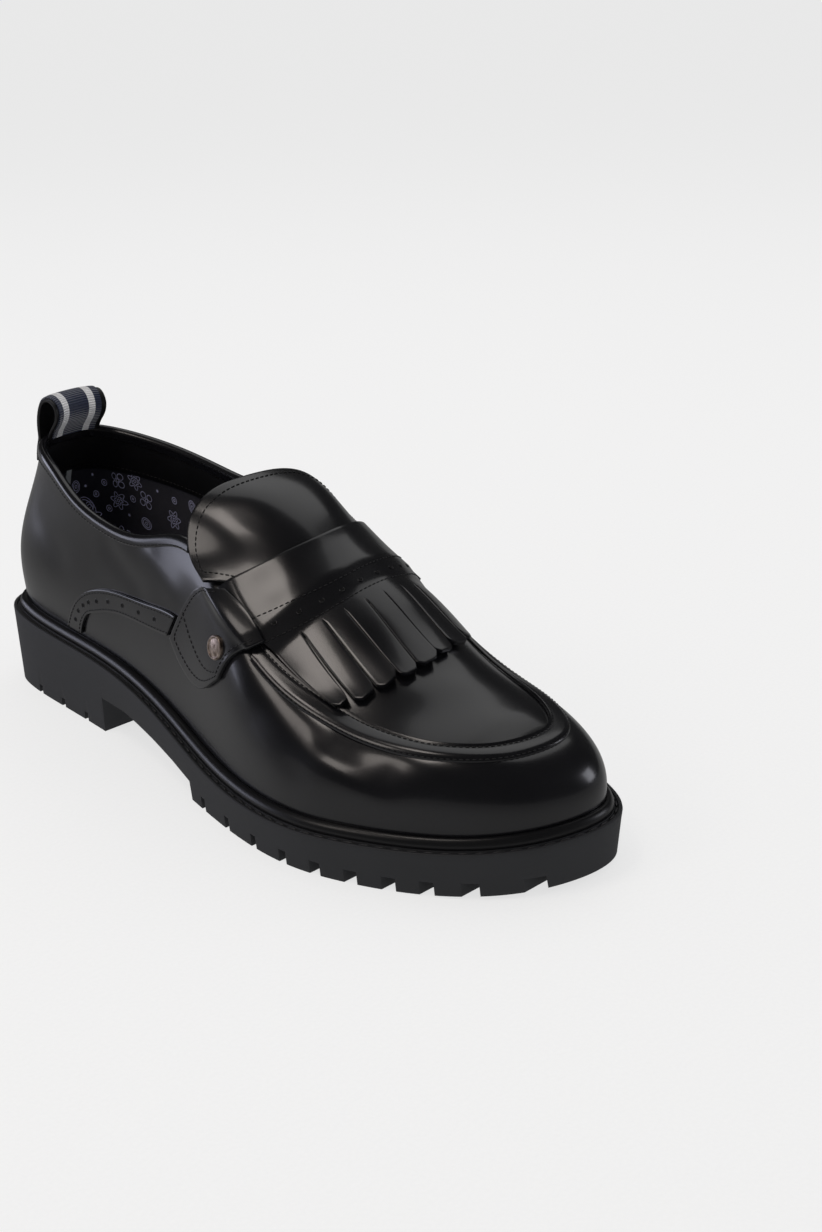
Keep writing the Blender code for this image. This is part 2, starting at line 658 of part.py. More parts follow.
def make_tongue():
    """Broad tongue that rises over the collar from under the strap."""
    columns = TONGUE_COLUMNS
    table = np.array(TONGUE_EDGE)
    steps = np.linalg.norm(np.diff(table, axis=0), axis=1)
    length = np.concatenate([[0], np.cumsum(steps)])
    rear = spline(length, table)(np.linspace(0, length[-1], columns))
    under = []
    for station, side in TONGUE_UNDER:
        across = np.linspace(side, 1 - side, columns)
        under.append(over_skin(station, 1 + across, np.full(columns, TONGUE_LIFT + SHEET)))
    arch = np.sin(np.pi * np.linspace(0, 1, columns))[:, None] * np.array([0.0, 0.0, 1.0])
    lines = []
    for i in range(TONGUE_FREE_ROWS):
        share = i / TONGUE_FREE_ROWS
        lines.append(rear + (under[0] - rear) * share
                     + arch * TONGUE_HUMP * np.sin(np.pi * share))
    lines += under
    surface = np.array(lines)
    along = np.gradient(surface, axis=0)
    side = np.gradient(surface, axis=1)
    normal = np.cross(side, along)
    normal /= np.linalg.norm(normal, axis=-1, keepdims=True)
    if normal[..., 2].mean() < 0:
        normal = -normal
    back = surface - normal * SHEET
    points, faces = thick(surface.reshape(-1, 3), back.reshape(-1, 3),
                          grid_faces(len(lines), columns))
    return solid("tongue", points, faces, "polished leather")


def make_kiltie():
    """Saddle strap and its fringe: one sheet, cut into strips at the front."""
    cells = 4
    strap_rows = 4
    strip_rows = 6
    roots = [ROOT_SIDES[0]] + [slit[0] for slit in SLITS] + [ROOT_SIDES[1]]
    ends = [TIP_SIDES[0]] + [slit[1] for slit in SLITS] + [TIP_SIDES[1]]
    root_sections = [ROOT_END_SECTION] + [slit[2] for slit in SLITS] + [ROOT_END_SECTION]
    lines = []
    faces = []
    places = []

    def add(place):
        places.append(place)
        return len(places) - 1

    strap_columns = len(STRIP_TIPS) * cells + 1
    across = np.interp(np.arange(strap_columns) / cells, np.arange(len(roots)), roots)
    root = np.interp(np.arange(strap_columns) / cells, np.arange(len(roots)), root_sections)
    for i in range(strap_rows + 1):
        share = i / strap_rows
        start = np.interp(across, ROOT_SIDES, STRAP_SIDES)
        lines.append([add((STRAP_TOP + (root[j] - STRAP_TOP) * share,
                           start[j] + (across[j] - start[j]) * share, 0.0))
                      for j in range(strap_columns)])
    for a, b in zip(lines, lines[1:]):
        for j in range(strap_columns - 1):
            faces.append((a[j], b[j], b[j + 1], a[j + 1]))

    for k, tip in enumerate(STRIP_TIPS):
        above = lines[-1][k * cells:(k + 1) * cells + 1]
        for i in range(1, strip_rows + 1):
            share = i / strip_rows
            below = []
            for j in range(cells + 1):
                local = j / cells
                low = roots[k] + (ends[k] - roots[k]) * share
                high = roots[k + 1] + (ends[k + 1] - roots[k + 1]) * share
                if k > 0:
                    low += SLIT_WIDTH / 2
                if k < len(STRIP_TIPS) - 1:
                    high -= SLIT_WIDTH / 2
                start = root[k * cells + j]
                point = TIP_POINT * abs(2 * local - 1) ** 2
                end = tip - point
                below.append(add((start + (end - start) * share, low + (high - low) * local,
                                  share)))
            for j in range(cells):
                faces.append((above[j], below[j], below[j + 1], above[j + 1]))
            above = below

    table = np.array(places)
    u, share, along = table.T
    lift = np.interp(u, LIFT_DROP, (STRAP_LIFT, FRINGE_LIFT)) + TIP_LIFT * along
    front = over_skin(u, share, lift + SHEET)
    back = over_skin(u, share, lift)
    points, closed = thick(front, back, faces)
    return solid("strap_and_kiltie", points, closed, "polished leather")


def make_tab(name, medial):
    """Folded tab that covers the strap's end and is sewn to the wall."""
    columns = 7
    across = np.linspace(0, 1, columns)
    top = np.array(TAB_TOP) + (np.array(TAB_FRONT) - np.array(TAB_TOP)) * across[:, None]
    low = spline(np.linspace(0, 1, len(TAB_LOWER_EDGE)), TAB_LOWER_EDGE)(across)
    down, lift = np.array(TAB_ROWS).T
    places = top[None] + (low - top)[None] * down[:, None, None]
    u, height = places[..., 0], places[..., 1]
    if medial:
        u = ROUND - u
    lift = lift[:, None] + 0 * u
    front = over_skin(u, height, lift + TAB_THICKNESS).reshape(-1, 3)
    back = over_skin(u, height, lift).reshape(-1, 3)
    points, faces = thick(front, back, grid_faces(len(TAB_ROWS), columns))
    return solid(name, points, faces, "polished leather")


def make_stud():
    """Flat-topped stud through the lateral tab, its face left plain."""
    u, share = (np.array(value) for value in STUD_PLACE)
    normal = skin_normal(u, share)
    base = skin(u, share) + normal * (GAP + TAB_THICKNESS + STUD_SEAT)
    forward = np.cross(normal, np.array([0.0, 0.0, 1.0]))
    forward /= np.linalg.norm(forward)
    side = np.cross(normal, forward)
    turns = np.linspace(0, 2 * np.pi, 24, endpoint=False)
    circle = np.cos(turns)[:, None] * forward + np.sin(turns)[:, None] * side
    points = [base]
    for radius, height in STUD_RINGS:
        points.extend(base + circle * STUD_RADIUS * radius + normal * height)
    points.append(base + normal * STUD_HEIGHT)
    count = len(turns)
    last = len(points) - 1
    upper_ring = 1 + (len(STUD_RINGS) - 1) * count
    faces = []
    for i in range(count):
        k = (i + 1) % count
        faces.append((0, 1 + k, 1 + i))
        for a in range(1, upper_ring, count):
            faces.append((a + i, a + k, a + count + k, a + count + i))
        faces.append((upper_ring + i, upper_ring + k, last))
    return solid("stud", np.array(points), faces, "pale bronze")


def make_pull_loop():
    """Ribbon loop over the back of the collar."""
    columns = 7
    u = np.mod(np.linspace(-LOOP_HALF, LOOP_HALF, columns), ROUND)
    top = section(u)[:, 2:5]
    side = np.zeros((columns, 3))
    side[:, 0] = -1.0
    up = np.array([0.0, 0.0, 1.0])
    path = [over_skin(u, share, np.full(columns, lift)) for share, lift in LOOP_TAIL]
    for out, rise in LOOP_PATH:
        path.append(top + side * out + up * rise)
    line = np.array(path)
    knots = np.linspace(0, 1, len(line))
    fine = np.linspace(0, 1, 22)
    smooth = np.stack([spline(knots, line[:, j])(fine) for j in range(columns)], 1)
    along = np.gradient(smooth, axis=0)
    across = np.gradient(smooth, axis=1)
    normal = np.cross(along, across)
    normal /= np.linalg.norm(normal, axis=-1, keepdims=True)
    if normal[0, columns // 2, 0] > 0:
        normal = -normal
    front = smooth + normal * LOOP_THICKNESS
    points, faces = thick(front.reshape(-1, 3), smooth.reshape(-1, 3),
                          grid_faces(len(fine), columns))
    return solid("pull_loop", points, faces, "ribbon")


def main():
    for obj in list(bpy.data.objects):
        bpy.data.objects.remove(obj, do_unlink=True)
    make_outsole()
    make_rim()
    make_insole()
    make_upper()
    make_apron_seam()
    make_binding()
    make_band("brogue_band_lateral", False)
    make_band("brogue_band_medial", True)
    make_tongue()
    make_kiltie()
    make_tab("strap_tab_lateral", False)
    make_tab("strap_tab_medial", True)
    make_stud()
    make_pull_loop()


main()
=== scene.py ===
"""Looks of a kiltie loafer for the right foot, made around its packed solids.

The shoe is drawn in its own axes, in millimetres: s runs from the back of the heel to the
toe, w to the outer (lateral) side, z up from the floor. at() turns them into metres in the
model's frame, with the toe at -Y and the outer side at -X.
"""

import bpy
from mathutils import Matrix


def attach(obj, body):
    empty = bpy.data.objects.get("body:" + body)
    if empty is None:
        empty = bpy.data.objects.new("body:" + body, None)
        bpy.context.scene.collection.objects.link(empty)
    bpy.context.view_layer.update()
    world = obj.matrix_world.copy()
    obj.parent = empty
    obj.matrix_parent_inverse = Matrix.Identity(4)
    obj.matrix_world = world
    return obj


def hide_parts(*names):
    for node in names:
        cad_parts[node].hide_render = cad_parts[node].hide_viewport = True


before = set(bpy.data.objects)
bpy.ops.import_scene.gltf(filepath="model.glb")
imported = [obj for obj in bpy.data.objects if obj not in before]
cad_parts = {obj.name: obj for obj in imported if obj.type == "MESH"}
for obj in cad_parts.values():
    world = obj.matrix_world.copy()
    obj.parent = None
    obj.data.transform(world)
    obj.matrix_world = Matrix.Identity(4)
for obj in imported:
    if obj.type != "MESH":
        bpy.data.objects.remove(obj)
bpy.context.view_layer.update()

import math

import bmesh
import bpy
import numpy as np
from bpy.props import FloatProperty, FloatVectorProperty, PointerProperty
from bpy.types import Operator, Panel, PropertyGroup
from mathutils import Matrix, Vector
from mathutils.bvhtree import BVHTree

bl_info = {
    "name": "Kiltie loafer",
    "version": (1, 0, 0),
    "blender": (4, 5, 0),
    "location": "View3D > Sidebar > Loafer",
    "description": "Builds the leather, sole, stitching and lining of a kiltie loafer",
    "category": "Add Mesh",
}

MM = 0.001
LENGTH = 300.0
RIM_INSET = 5.8
GAP = 0.3
WALL = 1.8
LEATHER = 1.0                   # thickness of the upper's visible leather
STRAP_THICKNESS = 1.6
TONGUE_THICKNESS = 1.6
TAPE_MIDDLE = -0.55             # section of the tape on the heel seam

# One row for each section of the last, heel to toe. Columns: sole station, lateral and medial
# half-width, top station, lateral and medial top half-width, lateral and medial top height,
# lateral and medial bulge of the wall, roundness of the wall, rise of the instep over the top
# line, and how far the instep's middle lies in front of its sides.
SECTIONS = (
    (1.8, 13.0, -13.5, 20.8, 6.3, -7.3, 102.0, 102.5, 4.5, 5.0, 0.10, 0.0, 0.0),
    (8.0, 22.3, -22.8, 23.3, 11.5, -13.0, 101.3, 102.5, 4.5, 5.0, 0.10, 0.0, 0.0),
    (20.0, 27.6, -29.5, 30.0, 16.5, -18.6, 99.8, 101.5, 4.0, 4.5, 0.10, 0.0, 0.0),
    (40.0, 30.8, -34.3, 44.0, 21.7, -24.0, 96.7, 99.5, 3.0, 3.5, 0.12, 0.0, 0.0),
    (65.0, 33.4, -36.6, 63.5, 26.5, -28.2, 89.4, 96.5, 1.5, 2.0, 0.18, 0.0, 0.0),
    (95.0, 37.3, -35.6, 88.0, 29.6, -30.0, 84.3, 92.5, 0.0, 0.5, 0.25, 0.0, 0.0),
    (125.0, 43.2, -34.6, 113.0, 30.2, -30.0, 85.2, 92.0, -0.5, 1.0, 0.32, 0.0, 0.0),
    (150.0, 49.3, -37.0, 138.0, 29.8, -29.4, 88.4, 95.0, 0.0, 1.5, 0.42, 4.0, 20.0),
    (175.0, 55.3, -42.8, 166.0, 37.5, -35.0, 73.0, 76.0, 0.5, 1.5, 0.60, 13.5, 12.0),
    (200.0, 59.3, -48.8, 194.0, 41.0, -38.5, 57.0, 59.0, 1.0, 1.0, 0.75, 19.0, 7.0),
    (222.0, 59.0, -51.6, 216.0, 39.0, -35.5, 49.5, 50.5, 1.5, 1.5, 0.85, 16.5, 4.0),
    (243.0, 53.4, -50.0, 234.0, 37.5, -32.0, 46.5, 46.5, 2.0, 2.0, 0.90, 12.0, 3.0),
    (262.0, 45.3, -43.5, 250.0, 34.0, -28.0, 45.4, 45.4, 2.0, 2.0, 0.92, 8.0, 2.0),
    (279.0, 34.5, -35.0, 263.0, 27.5, -22.8, 44.9, 44.9, 2.0, 2.0, 0.95, 5.0, 1.2),
    (291.0, 21.5, -26.5, 272.0, 18.0, -16.5, 44.4, 44.4, 2.0, 2.0, 0.95, 2.0, 0.4),
    (298.0, 6.5, -17.0, 276.5, 7.0, -9.5, 44.1, 44.1, 2.0, 2.0, 0.95, 0.3, 0.0),
)
HEEL_MIDDLE = (0.0, -0.5, 20.0, -0.5, 102.2, 4.5, 0.10)
TOE_MIDDLE = (300.0, -5.5, 277.6, -1.5, 44.0, 2.0, 0.95)
LEDGE = (
    (0.0, 33.0), (40.0, 30.4), (82.0, 29.2), (130.0, 23.6), (165.0, 17.0),
    (200.0, 14.7), (240.0, 15.3), (275.0, 16.8), (300.0, 19.0),
)
WAIST = ((83.0, 14.7), (102.0, 15.0), (124.0, 12.5), (140.0, 10.2), (153.7, 7.5))
GROOVES = (
    (163.7, 2.8), (181.3, 2.8), (198.3, 2.9), (213.8, 3.4), (227.8, 4.1),
    (240.9, 4.6), (253.7, 4.6), (265.5, 4.4), (277.5, 4.8), (291.5, 4.0),
)
HEEL_GROOVES = ((9.0, 2.6), (31.5, 2.6), (50.0, 2.6), (68.0, 2.6))
BREAST = 82.0
TREAD_START = 154.5

SECTION_COUNT = len(SECTIONS)
TOE = SECTION_COUNT + 1.0
ROUND = 2.0 * TOE
THROAT = 8
ARCH_SKEW = 0.2

TONGUE_EDGE = (
    (154.5, 38.2, 82.0), (147.0, 36.2, 85.5), (142.0, 34.0, 90.2), (139.2, 31.2, 96.0),
    (137.8, 26.5, 102.0), (138.0, 18.0, 106.8), (139.3, 8.0, 108.8), (140.5, -2.0, 109.3),
    (141.6, -12.0, 108.6), (143.0, -20.0, 106.2), (144.8, -26.5, 101.5),
    (147.0, -31.0, 95.5), (150.0, -34.2, 89.5), (154.5, -36.2, 84.5),
)
TONGUE_UNDER = ((8.8, 0.075), (9.08, 0.08), (9.35, 0.10))

STRAP_TOP = 8.75
STRAP_SIDES = (1.01, 1.99)
ROOT_SIDES = (1.055, 1.945)
TIP_SIDES = (1.035, 1.89)
SLITS = (
    (1.17, 1.10, 9.86), (1.26, 1.20, 9.93), (1.35, 1.31, 10.0), (1.45, 1.41, 10.04),
    (1.55, 1.535, 10.07), (1.66, 1.655, 10.07), (1.77, 1.78, 10.02),
)
# One row for each strip of the fringe: section of its tip, lift of its tip, twist, both mm
STRIPS = (
    (11.24, 1.3, -0.6), (11.46, 0.7, -0.5), (11.57, 0.9, 0.6), (11.68, 0.6, -0.5),
    (11.70, 0.9, 0.5), (11.62, 0.6, -0.6), (11.5, 0.8, 0.4), (11.2, 0.5, -0.4),
)

SLIT_GAP = 0.0018               # half a slit's width, in shares
TIP_CHAMFER = 0.13              # length of a strip's cut corners, in sections

TAB_FOLD = ((8.85, 1.035), (9.25, 1.066), (9.66, 1.052))
MEDIAL_FOLD = 0.07              # the inner tab starts this share of its way down
TAB_LOWER_EDGE = ((7.45, 0.41), (7.7, 0.32), (8.08, 0.28), (8.5, 0.33), (8.93, 0.48))
TAB_THICKNESS = 1.6
# One row for each key row of a tab: share of the way down, and share of the height that the
# tab needs over the strap's end
TAB_ROWS = (
    (0.0, 1.0), (0.1, 0.82), (0.22, 0.45), (0.38, 0.15), (0.55, 0.03), (0.75, 0.0), (1.0, 0.0),
)
STUD_ON_TAB = (0.74, 0.56)      # across the tab and down it, as shares
STUD_RADIUS = 4.4

BAND_OUTER = (
    (4.52, 0.075), (4.76, 0.21), (5.08, 0.34), (5.46, 0.44), (6.1, 0.52), (6.96, 0.55),
    (7.62, 0.53),
)
BAND_INNER = (
    (4.96, 0.075), (5.08, 0.17), (5.22, 0.24), (5.42, 0.28), (5.92, 0.36), (6.58, 0.40),
    (7.34, 0.41),
)
BAND_HOLES = (0.12, 0.23, 0.335, 0.435, 0.53, 0.62, 0.71, 0.80, 0.89)

# Strap seams and the holes between them: section and share along each line
STRAP_SEAM_UPPER = ((9.30, 1.03), (9.54, 1.28), (9.62, 1.50), (9.54, 1.74), (9.34, 1.95))
STRAP_SEAM_LOWER = ((9.66, 1.06), (9.84, 1.26), (9.90, 1.50), (9.84, 1.74), (9.64, 1.94))
STRAP_HOLE_COUNT = 9

# Soft troughs (negative) and ridges (positive) in the leather of the upper. Columns: section
# and share of one end and of the other, half-width and depth, mm
CREASES = (
    (11.3, 0.74, 12.5, 0.56, 7.0, -1.0),
    (11.0, 0.55, 12.1, 0.40, 6.0, 0.5),
    (9.9, 0.80, 10.9, 0.62, 6.0, -0.6),
    (9.8, 0.52, 10.7, 0.36, 7.0, -0.7),
    (6.0, 0.80, 6.6, 0.62, 6.0, -0.5),
    (7.0, 0.86, 7.5, 0.66, 5.0, 0.4),
    (3.6, 0.62, 4.4, 0.50, 8.0, -0.5),
    (22.5, 0.70, 23.6, 0.52, 7.0, -0.9),
    (24.0, 0.55, 25.0, 0.40, 7.0, -0.6),
    (11.2, 1.30, 11.9, 1.55, 7.0, -0.4),
    (12.6, 1.25, 13.2, 1.60, 9.0, -0.35),
)

LOOP_HALF = 1.9
LOOP_MIDDLE = -0.3
LOOP_TAIL = ((0.86, 0.4), (0.93, 1.3), (0.985, 1.5))
LOOP_PATH = (
    (2.2, 2.0), (2.2, 6.0), (1.2, 10.8), (-1.0, 14.8), (-4.6, 16.4), (-8.2, 14.8),
    (-9.0, 11.0), (-7.0, 7.4), (-4.6, 4.6), (-2.6, 1.2),
)


# The shape of the shoe

def spline(knots, values, period=None):
    """Cubic spline through the values; closed where a period is given."""
    t = np.asarray(knots, float)
    v = np.asarray(values, float).reshape(len(t), -1)
    count = len(t)
    if period:
        h = np.diff(np.append(t, t[0] + period))
    else:
        h = np.append(np.diff(t), 1.0)
    system = np.eye(count)
    right = np.zeros_like(v)
    inner = range(count) if period else range(1, count - 1)
    for i in inner:
        before, after = (i - 1) % count, (i + 1) % count
        system[i] = 0.0
        system[i, before] += h[before]
        system[i, i] += 2 * (h[before] + h[i])
        system[i, after] += h[i]
        right[i] = 6 * ((v[after] - v[i]) / h[i] - (v[i] - v[before]) / h[before])
    bend = np.linalg.solve(system, right)

    def value(x):
        x = np.asarray(x, float)
        x = np.mod(x - t[0], period) + t[0] if period else np.clip(x, t[0], t[-1])
        i = np.clip(np.searchsorted(t, x, side="right") - 1, 0, count - 1 - (not period))
        j = (i + 1) % count
        a = (x - t[i])[..., None]
        step = h[i][..., None]
        c = step - a
        cubic = (bend[i] * c ** 3 + bend[j] * a ** 3) / (6 * step)
        return (cubic + (v[i] / step - bend[i] * step / 6) * c
                + (v[j] / step - bend[j] * step / 6) * a)

    return value


def closed_rows():
    """Rows round the shoe: heel, lateral sections, toe, medial sections backwards."""
    rows = [HEEL_MIDDLE]
    for (s, lat, _, top, top_lat, _, z_lat, _, bulge, _, rnd, _, _) in SECTIONS:
        rows.append((s, lat, top, top_lat, z_lat, bulge, rnd))
    rows.append(TOE_MIDDLE)
    for (s, _, med, top, _, top_med, _, z_med, _, bulge, rnd, _, _) in reversed(SECTIONS):
        rows.append((s, med, top, top_med, z_med, bulge, rnd))
    return np.array(rows)


ROWS = closed_rows()
CHORDS = np.hypot(*np.diff(np.vstack([ROWS, ROWS[:1]])[:, :2], axis=0).T)
ARC = np.concatenate([[0.0], np.cumsum(CHORDS)])
ROW_SPLINE = spline(ARC[:-1], ROWS, ARC[-1])
LEDGE_SPLINE = spline(*zip(*LEDGE))
INSTEP_SPLINE = spline(np.arange(1, SECTION_COUNT + 2),
                       [(row[11], row[12]) for row in SECTIONS] + [(0.0, 0.0)])


def section(u):
    """The interpolated table row at section number u."""
    return ROW_SPLINE(np.interp(np.mod(u, ROUND), np.arange(ROUND + 1), ARC))


def ring_sections(per_section):
    return np.arange(0, ROUND, 1.0 / per_section)


EDGE_WIDTHS = section(ring_sections(3))[:, 1]
MIDDLE_W = (EDGE_WIDTHS.max() + EDGE_WIDTHS.min()) / 2


def at(points):
    """Shoe millimetres to the model's metres."""
    p = np.asarray(points, float)
    return np.stack([MIDDLE_W - p[..., 1], LENGTH / 2 - p[..., 0], p[..., 2]], -1) * MM


def outward(u):
    """Plan direction square to the sole's edge, away from the shoe."""
    step = 0.02
    along = section(np.asarray(u) + step)[..., :2] - section(np.asarray(u) - step)[..., :2]
    square = np.stack([-along[..., 1], along[..., 0]], -1)
    return square / np.linalg.norm(square, axis=-1, keepdims=True)


def outward_level(u):
    """The same direction as a level vector."""
    plan = outward(u)
    return np.concatenate([plan, np.zeros_like(plan[..., :1])], -1)


def edge(u, inset, rise=0.0):
    """Point inside the sole's edge, above the ledge."""
    row = section(u)
    plan = row[..., :2] - outward(u) * np.asarray(inset)[..., None]
    z = LEDGE_SPLINE(row[..., 0])[..., 0] + rise
    return np.concatenate([plan, z[..., None]], -1)


def wall(u, share):
    """Side of the upper from its foot (0) to the top line (1)."""
    u, share = np.broadcast_arrays(np.asarray(u, float), np.asarray(share, float))
    row = section(u)
    foot = edge(u, RIM_INSET, GAP)
    top = row[..., 2:5]
    rnd = np.clip(row[..., 6], 0, 1)
    turn = share * np.pi / 2
    rise = np.sin(turn) * rnd + share * (1 - rnd)
    reach = np.cos(turn) * rnd + (1 - share) * (1 - rnd)
    bulge = row[..., 5] * np.sin(np.pi * np.clip(share, 0, 1) ** 0.75) ** 2
    plan = top[..., :2] + (foot[..., :2] - top[..., :2]) * reach[..., None]
    plan = plan + outward(u) * bulge[..., None]
    z = foot[..., 2] + (top[..., 2] - foot[..., 2]) * rise
    return np.concatenate([plan, z[..., None]], -1)


def instep(u, across):
    """Top of the upper between the lateral (0) and medial (1) top lines."""
    lateral = section(u)[..., 2:5]
    medial = section(ROUND - u)[..., 2:5]
    across = np.asarray(across, float)
    point = lateral + (medial - lateral) * across[..., None]
    rise, lead = np.moveaxis(INSTEP_SPLINE(u), -1, 0)
    leaned = across - ARCH_SKEW * across * (1 - across)
    point[..., 0] += lead * 4 * across * (1 - across)
    point[..., 2] += rise * 4 * leaned * (1 - leaned)
    return point


def skin(u, share):
    """Outer surface of the upper; shares over 1 lie on the instep."""
    u, share = np.broadcast_arrays(np.asarray(u, float), np.asarray(share, float))
    side = wall(u, np.minimum(share, 1.0))
    medial = u > TOE
    over = np.maximum(share - 1.0, 0.0)
    top = instep(np.where(medial, ROUND - u, u), np.where(medial, 1.0 - over, over))
    return np.where((share > 1.0)[..., None], top, side)


def skin_normal(u, share):
    """Direction square to the skin, outwards."""
    step = 0.01
    along = skin(u + step, share) - skin(u - step, share)
    up = skin(u, share + step) - skin(u, share - step)
    cross = np.cross(up, along)
    return cross / np.linalg.norm(cross, axis=-1, keepdims=True)


def over_skin(u, share, lift):
    """Point at a height over the skin."""
    u, share = np.broadcast_arrays(np.asarray(u, float), np.asarray(share, float))
    return skin(u, share) + skin_normal(u, share) * np.asarray(lift)[..., None]


def relief(points, creases):
    """Height of the soft troughs and ridges at each point."""
    height = np.zeros(points.shape[:-1])
    for u0, share0, u1, share1, width, depth in creases:
        start = skin(np.array(u0), np.array(share0))
        run = skin(np.array(u1), np.array(share1)) - start
        along = np.clip(((points - start) @ run) / (run @ run), 0, 1)
        away = np.linalg.norm(points - start - along[..., None] * run, axis=-1)
        height += depth * np.exp(-(away / width) ** 2)
    return height


def drop_share(u, drop):
    """Share of the wall's height that lies so many millimetres under the top line."""
    rows = section(u)
    height = rows[..., 4] - edge(u, RIM_INSET, GAP)[..., 2]
    return 1 - np.asarray(drop) / height


# Making meshes

def mesh_piece(name, points, faces, material, sharp=0.7, uv=None):
    """One named piece from points in shoe millimetres, smooth, riding on the shoe's body."""
    mesh = bpy.data.meshes.new(name)
    mesh.from_pydata(at(points).tolist(), [], [tuple(face) for face in faces])
    bm = bmesh.new()
    bm.from_mesh(mesh)
    bmesh.ops.recalc_face_normals(bm, faces=bm.faces)
    if uv is not None:
        layer = bm.loops.layers.uv.new("UVMap")
        for face in bm.faces:
            for loop in face.loops:
                loop[layer].uv = uv[loop.vert.index]
    bm.to_mesh(mesh)
    bm.free()
    mesh.materials.append(material)
    mesh.shade_smooth()
    mesh.set_sharp_from_angle(angle=sharp)
    obj = bpy.data.objects.new(name, mesh)
    bpy.context.scene.collection.objects.link(obj)
    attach(obj, "root")
    return obj


def finished(obj, sharp=0.7):
    """Apply the object's modifiers and keep the plain mesh."""
    graph = bpy.context.evaluated_depsgraph_get()
    graph.update()
    mesh = bpy.data.meshes.new_from_object(obj.evaluated_get(graph), depsgraph=graph)
    obj.modifiers.clear()
    obj.data = mesh
    mesh.shade_smooth()
    mesh.set_sharp_from_angle(angle=sharp)
    return obj


def thick(front, back, faces):
    """Close a sheet: its faces, the same faces on the back, and a strip on each free edge."""
    count = len(front)
    used = {}
    for face in faces:
        for a, b in zip(face, face[1:] + face[:1]):
            used[(a, b)] = used.get((a, b), 0) + 1
    closed = list(faces) + [tuple(i + count for i in reversed(face)) for face in faces]
    for (a, b) in used:
        if (b, a) not in used:
            closed.append((b, a, a + count, b + count))
    return np.vstack([front, back]), closed


def grid_faces(rows, columns, ring=False):
    """Quads of a grid stored row after row; ring joins the last column to the first."""
    faces = []
    for i in range(rows - 1):
        for j in range(columns if ring else columns - 1):
            k = (j + 1) % columns
            faces.append((i * columns + j, i * columns + k,
                          (i + 1) * columns + k, (i + 1) * columns + j))
    return faces


def across_faces(count, start=0, flip=False):
    """Fill a ring of an even count, heel point first, with strips from side to side."""
    faces = []
    for i in range(count // 2):
        a, b = start + i, start + i + 1
        c, d = start + (count - i - 1) % count, start + (count - i) % count
        face = tuple(dict.fromkeys((a, b, c, d)))
        faces.append(tuple(reversed(face)) if flip else face)
    return faces


def swept(profiles, ring=False):
    """Join profiles (lists of points, one for each place along) into a closed ring or run."""
    points = np.stack(profiles, 1)
    count, sides = points.shape[:2]
    faces = []
    for i in range(count if ring else count - 1):
        k = (i + 1) % count
        for j in range(sides):
            m = (j + 1) % sides
            faces.append((i * sides + j, k * sides + j, k * sides + m, i * sides + m))
    if not ring:
        faces.append(tuple(reversed(range(sides))))
        faces.append(tuple((count - 1) * sides + j for j in range(sides)))
    return points.reshape(-1, 3), faces


def box(s0, s1, w0, w1, z0, z1):
    points = [(s, w, z) for s in (s0, s1) for w in (w0, w1) for z in (z0, z1)]
    faces = [(0, 1, 3, 2), (4, 6, 7, 5), (0, 4, 5, 1), (2, 3, 7, 6), (0, 2, 6, 4), (1, 5, 7, 3)]
    return points, faces


def joined(shapes):
    points, faces = [], []
    for shape_points, shape_faces in shapes:
        offset = len(points)
        points.extend(tuple(p) for p in shape_points)
        faces.extend(tuple(i + offset for i in face) for face in shape_faces)
    return np.array(points), faces


def sheet(surface, thickness, faces):
    """A grid of points made thick downwards."""
    along = np.gradient(surface, axis=0)
    side = np.gradient(surface, axis=1)
    normal = np.cross(side, along)
    normal /= np.linalg.norm(normal, axis=-1, keepdims=True)
    if normal[..., 2].mean() < 0:
        normal = -normal
    back = surface - normal * thickness
    return thick(surface.reshape(-1, 3), back.reshape(-1, 3), faces)


def eased(obj, width, sharp=0.7, segments=2):
    """Round the sharp edges of a piece."""
    bevel = obj.modifiers.new("eased_edges", "BEVEL")
    bevel.width = width * MM
    bevel.segments = segments
    bevel.limit_method = "ANGLE"
    bevel.angle_limit = 0.8
    bevel.harden_normals = False
    return finished(obj, sharp)


# Materials

def new_material(name):
    mat = bpy.data.materials.get(name)
    if mat is not None:
        return mat, None
    mat = bpy.data.materials.new(name)
    mat.use_nodes = True
    return mat, mat.node_tree


def node(tree, kind, inputs=(), **settings):
    """Add a node; inputs are (socket, value or output socket) pairs."""
    made = tree.nodes.new(kind)
    for key, value in settings.items():
        setattr(made, key, value)
    for socket, value in dict(inputs).items():
        target = made.inputs[socket]
        if isinstance(value, bpy.types.NodeSocket):
            tree.links.new(value, target)
        else:
            target.default_value = value
    return made


def group_tree(name, inputs, outputs):
    """A shader node group with named float, colour or vector sockets."""
    tree = bpy.data.node_groups.new(name, "ShaderNodeTree")
    for socket, kind, default in inputs:
        made = tree.interface.new_socket(name=socket, in_out="INPUT", socket_type=kind)
        made.default_value = default
    for socket, kind in outputs:
        tree.interface.new_socket(name=socket, in_out="OUTPUT", socket_type=kind)
    return tree, tree.nodes.new("NodeGroupInput"), tree.nodes.new("NodeGroupOutput")


